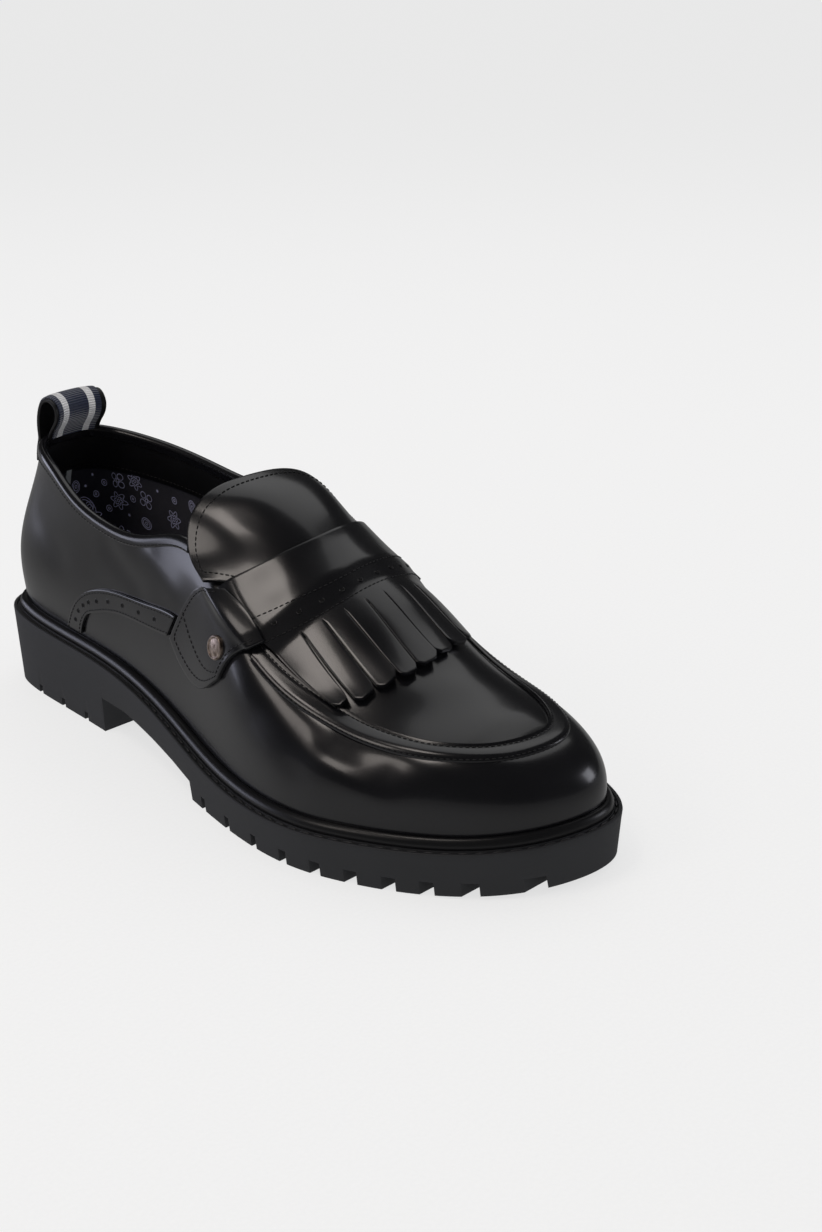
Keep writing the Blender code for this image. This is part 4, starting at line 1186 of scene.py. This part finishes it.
def tab_grid(medial, height):
    """Grid of points at a height over a tab's underside, row after row down the tab."""
    rows, columns = 41, 33
    across = np.linspace(0, 1, columns)
    first = MEDIAL_FOLD if medial else 0.0
    fold = tab_place(across, first)
    need = kiltie_lift(fold[:, 0], fold[:, 1]) + STRAP_THICKNESS
    lines = []
    for along, lifted in TAB_ROWS:
        spot = tab_place(across, first + (1 - first) * along)
        u = ROUND - spot[:, 0] if medial else spot[:, 0]
        lines.append(over_skin(u, spot[:, 1], 0.3 + need * lifted + height).ravel())
    grid = spline([row[0] for row in TAB_ROWS], np.array(lines))(np.linspace(0, 1, rows))
    return grid.reshape(rows, columns, 3)


def on_grid(grid, across, along):
    """Points of a grid at shares across and along it."""
    rows, columns = grid.shape[:2]
    i, j = along * (rows - 1), across * (columns - 1)
    a = np.minimum(i.astype(int), rows - 2)
    b = np.minimum(j.astype(int), columns - 2)
    down, over = (i - a)[:, None], (j - b)[:, None]
    upper = grid[a, b] * (1 - over) + grid[a, b + 1] * over
    lower = grid[a + 1, b] * (1 - over) + grid[a + 1, b + 1] * over
    return upper * (1 - down) + lower * down


def build_tabs():
    size = bpy.context.scene.loafer_sizes
    for side_name, medial in (("lateral", False), ("medial", True)):
        front, back = tab_grid(medial, TAB_THICKNESS), tab_grid(medial, -0.2)
        points, faces = thick(front.reshape(-1, 3), back.reshape(-1, 3),
                              grid_faces(*front.shape[:2]))
        obj = mesh_piece("strap_tab_leather_" + side_name, points, faces, polished())
        eased(obj, 0.6, segments=3)
        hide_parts("strap_tab_" + side_name)
        run = np.linspace(0.07, 0.93, 40)
        inset = np.full(40, 0.07)
        border = (np.concatenate([inset, run, 1 - inset]),
                  np.concatenate([run, 1 - inset, run[::-1]]))
        cross = (run, np.linspace(0.71, 0.87, 40))
        face = tab_grid(medial, TAB_THICKNESS + 0.06)
        stitches("tab_stitches_" + side_name, [on_grid(face, *border), on_grid(face, *cross)],
                 size.stitch_pitch, size.stitch_length, size.thread_width)


def build_stud():
    """Bare bronze-coloured stud: a domed face inside a raised ring."""
    look = bpy.context.scene.loafer_look
    grid = tab_grid(False, TAB_THICKNESS)
    across, along = STUD_ON_TAB
    spots = on_grid(grid, np.array([across - 0.1, across + 0.1, across, across]),
                    np.array([along, along, along - 0.1, along + 0.1]))
    normal = np.cross(spots[3] - spots[2], spots[1] - spots[0])
    normal *= np.sign(normal[1]) / np.linalg.norm(normal)
    base = spots.mean(axis=0) - normal * 0.1
    forward = np.cross(normal, np.array([0.0, 0.0, 1.0]))
    forward /= np.linalg.norm(forward)
    side = np.cross(normal, forward)
    count = 64
    turns = np.linspace(0, 2 * np.pi, count, endpoint=False)
    circle = np.cos(turns)[:, None] * forward + np.sin(turns)[:, None] * side
    # share of the radius and height: edge, raised ring, groove, domed face
    rings = ((1.0, 0.0), (1.0, 0.8), (0.965, 1.15), (0.88, 1.3), (0.81, 1.25), (0.77, 1.0),
             (0.73, 0.95), (0.67, 1.1), (0.37, 1.28))
    points = [base]
    for share, height in rings:
        points.extend(base + circle * STUD_RADIUS * share + normal * height)
    points.append(base + normal * 1.35)
    last = len(points) - 1
    faces = []
    for i in range(count):
        k = (i + 1) % count
        faces.append((0, 1 + k, 1 + i))
        for r in range(len(rings) - 1):
            a = 1 + r * count
            faces.append((a + i, a + k, a + count + k, a + count + i))
        a = 1 + (len(rings) - 1) * count
        faces.append((a + i, a + k, last))
    bronze = metal_material("stud_metal", look.stud, look.stud_stain)
    obj = mesh_piece("stud_bronze", np.array(points), faces, bronze, 0.9)
    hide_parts("stud")


def loop_surface(columns, half):
    u = np.mod(np.linspace(-half, half, columns) + LOOP_MIDDLE, ROUND)
    top = section(u)[:, 2:5]
    back = np.zeros((columns, 3))
    back[:, 0] = -1.0
    up = np.array([0.0, 0.0, 1.0])
    path = [over_skin(u, share, np.full(columns, lift)) for share, lift in LOOP_TAIL]
    for out, rise in LOOP_PATH:
        path.append(top + back * out + up * rise)
    line = np.array(path)
    fine = np.linspace(0, 1, 72)
    smooth = np.stack([spline(np.linspace(0, 1, len(line)), line[:, j])(fine)
                       for j in range(columns)], 1)
    along, across = np.gradient(smooth, axis=0), np.gradient(smooth, axis=1)
    normal = np.cross(along, across)
    normal /= np.linalg.norm(normal, axis=-1, keepdims=True)
    if normal[0, columns // 2, 0] > 0:
        normal = -normal
    return smooth, normal


def build_loop():
    look = bpy.context.scene.loafer_look
    columns = 25
    smooth, normal = loop_surface(columns, LOOP_HALF)
    front = smooth + normal * 1.25
    points, faces = thick(front.reshape(-1, 3), smooth.reshape(-1, 3),
                          grid_faces(len(smooth), columns))
    backing = grained_material("loop_leather", look.leather, look.leather_cloud, 0.38, 0.12,
                               0.3, 0.1)
    obj = mesh_piece("pull_loop_leather", points, faces, backing)
    eased(obj, 0.3)
    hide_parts("pull_loop")
    ribbon, ribbon_normal = loop_surface(columns, LOOP_HALF * 0.86)
    low, high = 10, len(ribbon)
    lower = (ribbon + ribbon_normal * 1.2)[low:high]
    upper = (ribbon + ribbon_normal * 1.85)[low:high]
    points, faces = thick(upper.reshape(-1, 3), lower.reshape(-1, 3),
                          grid_faces(len(upper), columns))
    middle = upper[:, columns // 2]
    run = np.concatenate([[0], np.cumsum(np.linalg.norm(np.diff(middle, axis=0), axis=1))])
    uv = [(j / (columns - 1), run[i]) for i in range(len(upper)) for j in range(columns)] * 2
    stripes = ribbon_material("striped_ribbon", look.ribbon, look.ribbon_stripe)
    mesh_piece("pull_loop_ribbon", points, faces, stripes, uv=uv)


def tread_height(s):
    return 3.0 * np.clip((s - 240.0) / 60.0, 0, 1) ** 2


def build_sole():
    look = bpy.context.scene.loafer_look
    rubber = grained_material("matte_rubber", look.rubber, look.rubber_cloud, 0.55, 0.15, 0.05,
                              grain=1800.0, bump=0.5)
    u = ring_sections(8)
    count = len(u)
    rings = []
    # inset from the edge and height against the ledge: top face, stitch channel, lip
    for inset, rise in ((9.0, 0.0), (2.7, 0.0), (2.5, -1.0), (1.5, -1.0), (1.3, -0.1),
                        (0.5, 0.0), (0.12, -0.25), (0.0, -0.8)):
        rings.append(edge(u, inset, rise))
    foot = edge(u, 1.5)
    top = edge(u, 0.0)
    foot[:, 2] = tread_height(foot[:, 0])
    for share in (0.2, 0.22, 0.6, 0.9):
        rings.append(top + (foot - top) * share)
    rings.append(foot)
    points = np.vstack(rings)
    faces = grid_faces(len(rings), count, ring=True)
    faces += across_faces(count, 0, flip=True)
    faces += across_faces(count, (len(rings) - 1) * count)
    sole = mesh_piece("outsole_rubber", points, faces, rubber)
    wide, below = 80.0, -5.0
    waist = [(BREAST, below)] + list(WAIST) + [(TREAD_START, below)]
    sides = len(waist)
    walls = [(s, wide, z) for s, z in waist] + [(s, -wide, z) for s, z in waist]
    waist_faces = [(i, (i + 1) % sides, sides + (i + 1) % sides, sides + i)
                   for i in range(sides)]
    waist_faces += [tuple(reversed(range(sides))), tuple(range(sides, 2 * sides))]
    cutters = [(walls, waist_faces)]
    for s, width in GROOVES:
        cutters.append(box(s - width / 2, s + width / 2, -wide, wide, below,
                           5.0 + tread_height(s)))
    for s, width in HEEL_GROOVES:
        cutters.append(box(s - width / 2, s + width / 2, -wide, wide, below, 3.5))
    lateral = np.arange(9.0, 16.01, 0.25)
    run = np.concatenate([lateral, ROUND - lateral[::-1]])
    profile = []
    for inset, z in ((12.0, below), (12.0, 4.4), (15.5, 4.4), (15.5, below)):
        line = edge(run, inset)
        line[:, 2] = z + (tread_height(line[:, 0]) if z > 0 else 0.0)
        profile.append(line)
    tools = []
    for name, shape in (("grooves", joined(cutters)), ("channel", swept(profile))):
        tool = mesh_piece("cut_" + name, shape[0], shape[1], rubber)
        boolean = sole.modifiers.new(name, "BOOLEAN")
        boolean.operation = "DIFFERENCE"
        boolean.solver = "EXACT"
        boolean.object = tool
        tools.append(tool)
    eased(sole, 0.5, 0.6)
    for tool in tools:
        bpy.data.objects.remove(tool, do_unlink=True)
    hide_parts("outsole")

    size = bpy.context.scene.loafer_sizes
    u = np.concatenate([np.arange(6.6, ROUND - 6.55, 0.1)])
    waxed = plain_material("welt_thread", look.welt_thread, 0.4)
    stitches("welt_stitches", [edge(u, 2.0, -0.55)], size.welt_pitch, size.welt_length,
             size.welt_thread, waxed)


def build_rim():
    look = bpy.context.scene.loafer_look
    u = ring_sections(8)
    shares = np.linspace(0, 0.3, 61)
    inner = []
    for station in u:
        line = wall(station, shares)
        height = line[0, 2] - GAP + 3.6
        point = np.array([np.interp(height, line[:, 2], line[:, k]) for k in range(3)])
        point[:2] += outward(np.array(station)) * 0.1
        inner.append(point)
    rows = [(5.5, 0.05), (2.9, 0.05), (2.75, 0.6), (2.85, 1.5), (3.2, 2.5), (3.8, 3.3),
            (4.5, 3.75)]
    profiles = [edge(u, inset, rise) for inset, rise in rows]
    profiles.append(np.array(inner))
    points, faces = swept(profiles, ring=True)
    shiny = grained_material("glossy_rubber", look.rim, look.rim, 0.24, 0.15, 0.05,
                             grain=1800.0, bump=0.15)
    obj = mesh_piece("storm_rim_rubber", points, faces, shiny, 1.0)
    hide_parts("storm_rim")


def build_insole():
    look = bpy.context.scene.loafer_look
    u = ring_sections(4)
    count = len(u)
    rings = [edge(u, inset, rise) for inset, rise in
             ((8.1, 0.4), (8.1, 3.2), (8.8, 3.6), (11.0, 3.4), (15.0, 3.3))]
    faces = grid_faces(len(rings), count, ring=True)
    faces += across_faces(count, 0) + across_faces(count, (len(rings) - 1) * count, flip=True)
    points = np.vstack(rings)
    uv = [(p[0], p[1]) for p in points]
    cloth = cloth_material("sock_lining_cloth", look.sock, look.sock, 0.9)
    obj = mesh_piece("sock_lining", points, faces, cloth, uv=uv)
    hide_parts("insole")


# The lining: a black band under the collar, and printed cloth below it

BAND_DEPTH = 18.0
LINING_END = 8.7


def lining_place(u, height, lift=0.0):
    """Point on the lining so many millimetres over the sole, lift into the shoe."""
    rows = section(u)
    share = height / (rows[..., 4] - edge(u, RIM_INSET, GAP)[..., 2])
    return over_skin(u, share, -(1.15 + np.asarray(lift)) + 0 * share)


def lining_top(u):
    rows = section(u)
    return rows[..., 4] - edge(u, RIM_INSET, GAP)[..., 2] - BAND_DEPTH


def build_lining():
    look = bpy.context.scene.loafer_look
    u = np.arange(-LINING_END, LINING_END + 0.01, 0.1)
    around = np.mod(u, ROUND)
    shares = np.linspace(0.02, 1.0, 16)
    lines = [lining_place(around, lining_top(around) * share) for share in shares]
    deeper = [lining_place(around, lining_top(around) * share, 0.5) for share in shares]
    points, faces = thick(np.array(deeper).reshape(-1, 3), np.array(lines).reshape(-1, 3),
                          grid_faces(len(shares), len(u)))
    plan = section(around)[:, :2]
    run = np.concatenate([[0], np.cumsum(np.linalg.norm(np.diff(plan, axis=0), axis=1))])
    uv = [(run[j], lines[i][j, 2]) for i in range(len(shares)) for j in range(len(u))] * 2
    cloth = cloth_material("print_cloth", look.cloth, look.cloth_cloud, 0.7)
    mesh_piece("lining_cloth", points, faces, cloth, uv=uv)

    black = grained_material("lining_leather", look.leather, look.leather_cloud, 0.42, 0.12,
                             0.25, grain=1100.0, bump=0.5)
    heights = np.linspace(-1.0, BAND_DEPTH - 3.4, 12)
    middle = np.sin(np.pi * np.clip((heights + 1) / (BAND_DEPTH - 2.4), 0, 1)) ** 0.5
    front = [lining_place(around, lining_top(around) + h, 0.75 + 0.5 * m)
             for h, m in zip(heights, middle)]
    back = [lining_place(around, lining_top(around) + h, 0.0) for h in heights]
    points, faces = thick(np.array(front).reshape(-1, 3), np.array(back).reshape(-1, 3),
                          grid_faces(len(heights), len(u)))
    mesh_piece("lining_top_band", points, faces, black)
    size = bpy.context.scene.loafer_sizes
    stitches("lining_stitches", [lining_place(around, lining_top(around) + 1.4, 1.35)],
             size.stitch_pitch, size.stitch_length, size.thread_width)

    tape_u = np.mod(np.linspace(-0.14, 0.14, 5) + TAPE_MIDDLE, ROUND)
    tape_shares = np.linspace(0.1, 1.0, 24)
    front = [lining_place(tape_u, lining_top(tape_u) * share, 1.0) for share in tape_shares]
    back = [lining_place(tape_u, lining_top(tape_u) * share, 0.45) for share in tape_shares]
    points, faces = thick(np.array(front).reshape(-1, 3), np.array(back).reshape(-1, 3),
                          grid_faces(24, 5))
    uv = [(j / 4 * 3, front[i][j][2]) for i in range(24) for j in range(5)] * 2
    pale = cloth_material("heel_tape_cloth", look.tape, look.tape, 1.2)
    mesh_piece("heel_seam_tape", points, faces, pale, uv=uv)
    build_print()


def ring_line(radius_x, radius_y, waves=0, depth=0.0, count=48):
    """Closed line round the middle: an oval, or a flower with so many petals."""
    turn = np.linspace(0, 2 * np.pi, count + 1)
    reach = 1 + depth * np.cos(waves * turn)
    return np.stack([radius_x * reach * np.cos(turn), radius_y * reach * np.sin(turn)], -1)


def teardrop_line(size, hook, count=60):
    """Closed teardrop whose point curls to one side."""
    turn = np.linspace(0, 2 * np.pi, count + 1)
    x = size * (np.cos(turn) * 0.55 + 0.10)
    y = size * 0.42 * np.sin(turn) * np.sin(turn / 2) ** 1.2 * 1.5
    bend = hook * np.clip(x / size + 0.1, 0, 1) ** 2
    return np.stack([x, y + bend * size], -1)


def motif_lines(kind):
    """Lines of one printed motif, in millimetres round its middle."""
    if kind == "teardrop":
        lines = [teardrop_line(13.0, 0.35), teardrop_line(10.5, 0.30)]
        lines += [ring_line(2.1, 2.1) + (-3.5, 0.0), ring_line(0.9, 0.9, count=16) + (-3.5, 0.0)]
        for x in (0.3, 2.3, 4.0):
            lines.append(ring_line(0.55, 0.55, count=12) + (x, 0.25 * x))
        return lines
    if kind == "flower":
        return [ring_line(3.4, 3.4, 6, 0.28), ring_line(1.9, 1.9, 6, 0.2),
                ring_line(0.7, 0.7, count=16)]
    if kind == "four_petals":
        petals = []
        for quarter in range(4):
            turn = quarter * np.pi / 2 + np.pi / 4
            middle = 2.7 * np.array([np.cos(turn), np.sin(turn)])
            petals.append(ring_line(1.5, 1.5, 1, 0.15) + middle)
        return petals + [ring_line(0.8, 0.8, count=16)]
    if kind == "oval":
        return [ring_line(3.0, 2.3), ring_line(2.1, 1.5), ring_line(0.8, 0.6, count=16)]
    if kind == "ring":
        return [ring_line(1.5, 1.5, count=24), ring_line(0.5, 0.5, count=12)]
    return [ring_line(0.5, 0.5, count=12), ring_line(0.2, 0.2, count=8)]


# Printed motifs near the heel's inner side: kind, section, height over the sole in mm, turn
PRINTED = (
    ("teardrop", 32.6, 30.0, -0.6), ("ring", 32.0, 38.0, 0.0), ("flower", 31.1, 36.0, 0.2),
    ("oval", 30.3, 28.0, 0.5), ("four_petals", 30.2, 39.0, 0.3), ("ring", 31.6, 44.0, 0.0),
    ("four_petals", 31.0, 46.0, 0.0), ("dot", 32.5, 42.0, 0.0), ("oval", 33.0, 42.0, 1.3),
    ("dot", 30.8, 30.0, 0.0), ("flower", 29.5, 33.0, 0.0), ("ring", 29.4, 42.0, 0.0),
    ("ring", 31.8, 24.0, 0.0), ("four_petals", 31.0, 20.0, 0.4), ("flower", 32.6, 16.0, 0.0),
)
PRINT_KINDS = ("flower", "ring", "four_petals", "dot", "oval", "teardrop", "ring", "dot")


def print_places():
    """The motifs placed by hand, and evenly scattered ones on the rest of the lining."""
    places = list(PRINTED)
    taken = [(motif[1] % ROUND, motif[2]) for motif in places]
    rng = np.random.default_rng(7)
    for _ in range(900):
        u = rng.uniform(-LINING_END + 0.5, LINING_END - 0.5) % ROUND
        height = rng.uniform(6.0, float(lining_top(np.array(u))) - 4.0)
        far = min(math.hypot(min(abs(u - a), ROUND - abs(u - a)) * 20.0, height - b)
                  for a, b in taken)
        from_tape = min(abs(u - TAPE_MIDDLE), abs(u - ROUND - TAPE_MIDDLE))
        if far > 8.0 and from_tape > 0.35:
            kind = PRINT_KINDS[len(places) % len(PRINT_KINDS)]
            if kind == "teardrop" and far < 13.0:
                kind = "ring"
            places.append((kind, u, height, rng.uniform(-3.1, 3.1)))
            taken.append((u, height))
    return places


def build_print():
    """Bandana print: pale lines that lie on the lining cloth."""
    look = bpy.context.scene.loafer_look
    half = 0.2
    points, faces = [], []
    for kind, u, height, turn in print_places():
        step = section(np.array(u) + 0.05)[:2] - section(np.array(u) - 0.05)[:2]
        per_mm = 0.1 / np.linalg.norm(step)
        turned = np.array([[math.cos(turn), -math.sin(turn)], [math.sin(turn), math.cos(turn)]])
        for line in motif_lines(kind):
            flat = line @ turned.T
            run = np.gradient(flat, axis=0)
            run /= np.maximum(np.linalg.norm(run, axis=1, keepdims=True), 1e-6)
            square = np.stack([-run[:, 1], run[:, 0]], -1) * half
            for sign, keep in ((1, 0), (-1, 1)):
                spot = flat + square * sign
                around = np.mod(u + spot[:, 0] * per_mm, ROUND)
                up = height + spot[:, 1]
                up = np.minimum(up, lining_top(around) - 1.2)
                placed = lining_place(around, up, 0.62)
                if keep == 0:
                    first = placed
                else:
                    offset = len(points)
                    pairs = np.stack([first, placed], 1).reshape(-1, 3)
                    points.extend(pairs)
                    for i in range(len(line) - 1):
                        a = offset + 2 * i
                        faces.append((a, a + 1, a + 3, a + 2))
    ink = plain_material("print_ink", look.ink, 0.8)
    mesh_piece("lining_print", np.array(points), faces, ink)


# Stage

CAMERA_TARGET = Vector((0.06935, -0.00384, 0.0381))
CAMERA_AZIMUTH = math.radians(-45.0)
CAMERA_ELEVATION = math.radians(21.14)
CAMERA_DISTANCE = 0.74127
CAMERA_ROLL = math.radians(-1.24)
CAMERA_LENS = 54.9

# Soft lights: name, direction from the shoe, distance, size x and y in metres, power in watts
# and colour
LIGHTS = (
    ("warm_top", (-0.36, 0.08, 0.93), 1.2, 0.32, 0.32, 1.7, (1.0, 0.92, 0.86)),
    ("warm_side", (-0.75, 0.24, 0.62), 1.2, 0.3, 0.3, 1.0, (1.0, 0.92, 0.86)),
    ("wide_top", (0.45, 0.33, 0.83), 1.4, 1.3, 1.0, 3.0, (1.0, 1.0, 1.0)),
    ("back_left", (-0.40, 0.90, 0.05), 1.3, 0.8, 0.5, 3.2, (0.80, 0.82, 1.0)),
    ("front_right", (0.74, -0.63, 0.21), 1.2, 0.3, 0.35, 1.0, (0.90, 0.91, 1.0)),
)


def add_light(name, direction, distance, size_x, size_y, power, colour):
    data = bpy.data.lights.new(name, "AREA")
    data.shape = "RECTANGLE"
    data.size, data.size_y = size_x, size_y
    data.energy = power
    data.color = colour
    obj = bpy.data.objects.new(name, data)
    way = Vector(direction).normalized()
    obj.location = way * distance + Vector((0.0, 0.0, 0.05))
    obj.rotation_euler = (-way).to_track_quat("-Z", "Y").to_euler()
    bpy.context.scene.collection.objects.link(obj)


BACKDROP = 0.87                 # strength of the surroundings in the camera's own view


def glow_fading(tree, shader, glow):
    """Even glow of the floor that mirrored views see only near the shoe."""
    place = node(tree, "ShaderNodeTexCoord").outputs["Object"]
    away = node(tree, "ShaderNodeVectorMath", {0: place}, operation="LENGTH")
    near = node(tree, "ShaderNodeMapRange", {"Value": away.outputs["Value"],
                                             "From Min": 0.08, "From Max": 0.36,
                                             "To Min": 0.25, "To Max": 0.05},
                interpolation_type="SMOOTHSTEP")
    rays = tree.nodes.new("ShaderNodeLightPath")
    seen = node(tree, "ShaderNodeMix", {0: rays.outputs["Is Glossy Ray"], 2: 1.0,
                                        3: near.outputs["Result"]})
    strength = node(tree, "ShaderNodeMath", {0: seen.outputs[0], 1: glow},
                    operation="MULTIPLY")
    tree.links.new(strength.outputs[0], shader.inputs["Emission Strength"])


def build_stage():
    look = bpy.context.scene.loafer_look
    mesh = bpy.data.meshes.new("floor")
    bm = bmesh.new()
    bmesh.ops.create_grid(bm, x_segments=8, y_segments=8, size=40.0)
    bm.to_mesh(mesh)
    bm.free()
    paper = plain_material("pale_floor", look.floor, 0.9)
    shader = paper.node_tree.nodes["Principled BSDF"]
    shader.inputs["Emission Color"].default_value = (1.0, 1.0, 1.0, 1.0)
    glow_fading(paper.node_tree, shader, look.floor_glow)
    shader.inputs["Specular IOR Level"].default_value = 0.0
    mesh.materials.append(paper)
    floor = bpy.data.objects.new("floor", mesh)
    bpy.context.scene.collection.objects.link(floor)
    for light in LIGHTS:
        add_light(*light)
    world = bpy.data.worlds.new("studio")
    world.use_nodes = True
    tree = world.node_tree
    rays = tree.nodes.new("ShaderNodeLightPath")
    around = node(tree, "ShaderNodeMix", {0: rays.outputs["Is Diffuse Ray"], 2: look.sky,
                                          3: look.daylight})
    strength = node(tree, "ShaderNodeMix", {0: rays.outputs["Is Camera Ray"],
                                            2: around.outputs[0], 3: BACKDROP})
    tree.links.new(strength.outputs[0], tree.nodes["Background"].inputs["Strength"])
    tree.nodes["Background"].inputs["Color"].default_value = (1.0, 1.0, 1.0, 1.0)
    bpy.context.scene.world = world
    bpy.context.scene.view_settings.view_transform = "Standard"

    reach = CAMERA_DISTANCE * math.cos(CAMERA_ELEVATION)
    place = CAMERA_TARGET + Vector((reach * math.sin(CAMERA_AZIMUTH),
                                    -reach * math.cos(CAMERA_AZIMUTH),
                                    CAMERA_DISTANCE * math.sin(CAMERA_ELEVATION)))
    forward = (CAMERA_TARGET - place).normalized()
    right = forward.cross(Vector((0, 0, 1))).normalized()
    up = right.cross(forward)
    right_rolled = right * math.cos(CAMERA_ROLL) + up * math.sin(CAMERA_ROLL)
    up_rolled = up * math.cos(CAMERA_ROLL) - right * math.sin(CAMERA_ROLL)
    turn = Matrix((right_rolled, up_rolled, -forward)).transposed()
    data = bpy.data.cameras.new("photo_camera")
    data.sensor_fit = "VERTICAL"
    data.sensor_height = 36.0
    data.lens = CAMERA_LENS
    camera = bpy.data.objects.new("photo_camera", data)
    camera.matrix_world = Matrix.Translation(place) @ turn.to_4x4()
    bpy.context.scene.collection.objects.link(camera)
    bpy.context.scene.camera = camera


# The add-on

def size_setting(name, description, default):
    return FloatProperty(name=name, description=description, default=default, min=0.05,
                         max=20.0)


def colour_setting(name, description, default):
    return FloatVectorProperty(name=name, description=description, default=default,
                               subtype="COLOR", min=0.0, max=1.0, size=3)


class LoaferSizes(PropertyGroup):
    """Sizes of the stitching and punching, in millimetres."""
    stitch_pitch: size_setting("Stitch pitch", "From stitch to stitch, mm", 2.1)
    stitch_length: size_setting("Stitch length", "Length of a stitch, mm", 1.6)
    thread_width: size_setting("Thread width", "Width of the upper's thread, mm", 0.5)
    welt_pitch: size_setting("Sole stitch pitch", "From stitch to stitch on the sole, mm", 5.6)
    welt_length: size_setting("Sole stitch length", "Length of a sole stitch, mm", 4.2)
    welt_thread: size_setting("Sole thread width", "Width of the sole's thread, mm", 1.0)
    hole_radius: size_setting("Hole radius", "Radius of the punched holes, mm", 0.95)


class LoaferLook(PropertyGroup):
    """Colours and finish of the shoe."""
    leather: colour_setting("Leather", "Polished leather", (0.004, 0.004, 0.005))
    leather_cloud: colour_setting("Leather clouds", "Lighter clouds in the leather",
                                  (0.009, 0.009, 0.011))
    leather_wave: FloatProperty(name="Leather waviness", default=0.9, min=0.0, max=5.0,
                                description="Height of the polished leather's soft waves")
    thread: colour_setting("Thread", "Thread of the upper", (0.008, 0.008, 0.009))
    welt_thread: colour_setting("Sole thread", "Thread along the sole", (0.03, 0.03, 0.033))
    rubber: colour_setting("Sole rubber", "Matte rubber of the sole", (0.018, 0.019, 0.022))
    rubber_cloud: colour_setting("Sole rubber clouds", "Lighter clouds in the rubber",
                                 (0.026, 0.027, 0.031))
    rim: colour_setting("Rim", "Glossy rim of the sole", (0.007, 0.007, 0.008))
    stud: colour_setting("Stud", "Bronze of the stud", (0.55, 0.45, 0.38))
    stud_stain: colour_setting("Stud stain", "Dark stains of the stud", (0.16, 0.12, 0.10))
    ribbon: colour_setting("Ribbon", "Navy of the pull loop", (0.006, 0.016, 0.062))
    ribbon_stripe: colour_setting("Ribbon stripe", "Stripes of the pull loop",
                                  (0.95, 0.95, 0.97))
    cloth: colour_setting("Lining cloth", "Ground of the printed cloth", (0.004, 0.004, 0.016))
    cloth_cloud: colour_setting("Lining cloth clouds", "Lighter clouds of the cloth",
                                (0.007, 0.006, 0.026))
    ink: colour_setting("Print", "Lines of the print", (0.62, 0.62, 0.88))
    tape: colour_setting("Heel tape", "Tape on the heel seam", (0.5, 0.53, 0.56))
    sock: colour_setting("Sock lining", "Cloth of the insole", (0.006, 0.006, 0.018))
    floor: colour_setting("Floor", "Studio floor", (0.3, 0.3, 0.3))
    floor_glow: FloatProperty(name="Floor glow", default=0.70, min=0.0, max=2.0,
                              description="Even light of the studio floor")
    sky: FloatProperty(name="Sky", description="Surroundings as the gloss mirrors them",
                       default=0.03, min=0.0, max=10.0)
    daylight: FloatProperty(name="Daylight", description="Surroundings as matte faces see them",
                            default=0.4, min=0.0, max=10.0)


def operator_class(name, label, doc, make):
    """One operator that builds a piece or a group of like pieces."""
    def execute(self, context):
        make()
        return {"FINISHED"}

    return type("LOAFER_OT_" + name, (Operator,), {
        "__doc__": doc, "bl_idname": "loafer." + name, "bl_label": label,
        "bl_options": {"REGISTER", "UNDO"}, "execute": execute})


PIECES = (
    ("upper", "Upper", "Leather of the quarters and the vamp", build_upper),
    ("seam", "Apron seam", "Rolled seam round the apron, with its stitches", build_seam),
    ("binding", "Collar binding", "Folded binding of the collar", build_binding),
    ("bands", "Brogue bands", "Punched bands of both quarters", build_bands),
    ("tongue", "Tongue", "Broad tongue with its stitched edge", build_tongue),
    ("kiltie", "Strap and fringe", "Saddle strap, holes, stitches and fringe", build_kiltie),
    ("tabs", "Strap tabs", "Folded tabs over the ends of the strap", build_tabs),
    ("stud", "Stud", "Bronze-coloured stud of the outer tab", build_stud),
    ("loop", "Pull loop", "Leather loop with its striped ribbon", build_loop),
    ("sole", "Outsole", "Lugged rubber sole with its stitched channel", build_sole),
    ("rim", "Storm rim", "Glossy rim between sole and upper", build_rim),
    ("insole", "Sock lining", "Cloth on the insole", build_insole),
    ("lining", "Lining", "Printed cloth and black band inside the quarters", build_lining),
    ("stage", "Stage", "Floor, soft lights and camera", build_stage),
)
OPERATORS = [operator_class(*piece) for piece in PIECES]


class LOAFER_PT_panel(Panel):
    """Lists the loafer's pieces and settings."""
    bl_idname = "LOAFER_PT_panel"
    bl_label = "Kiltie loafer"
    bl_space_type = "VIEW_3D"
    bl_region_type = "UI"
    bl_category = "Loafer"

    def draw(self, context):
        for operator in OPERATORS:
            self.layout.operator(operator.bl_idname)
        for group in (context.scene.loafer_sizes, context.scene.loafer_look):
            for setting in group.bl_rna.properties:
                if not setting.is_readonly and setting.identifier != "name":
                    self.layout.prop(group, setting.identifier)


CLASSES = [LoaferSizes, LoaferLook, *OPERATORS, LOAFER_PT_panel]


def register():
    for item in CLASSES:
        bpy.utils.register_class(item)
    bpy.types.Scene.loafer_sizes = PointerProperty(type=LoaferSizes)
    bpy.types.Scene.loafer_look = PointerProperty(type=LoaferLook)


def unregister():
    del bpy.types.Scene.loafer_look
    del bpy.types.Scene.loafer_sizes
    for item in reversed(CLASSES):
        bpy.utils.unregister_class(item)


def main():
    register()
    for name, *_ in PIECES:
        getattr(bpy.ops.loafer, name)()


if __name__ == "__main__":
    main()
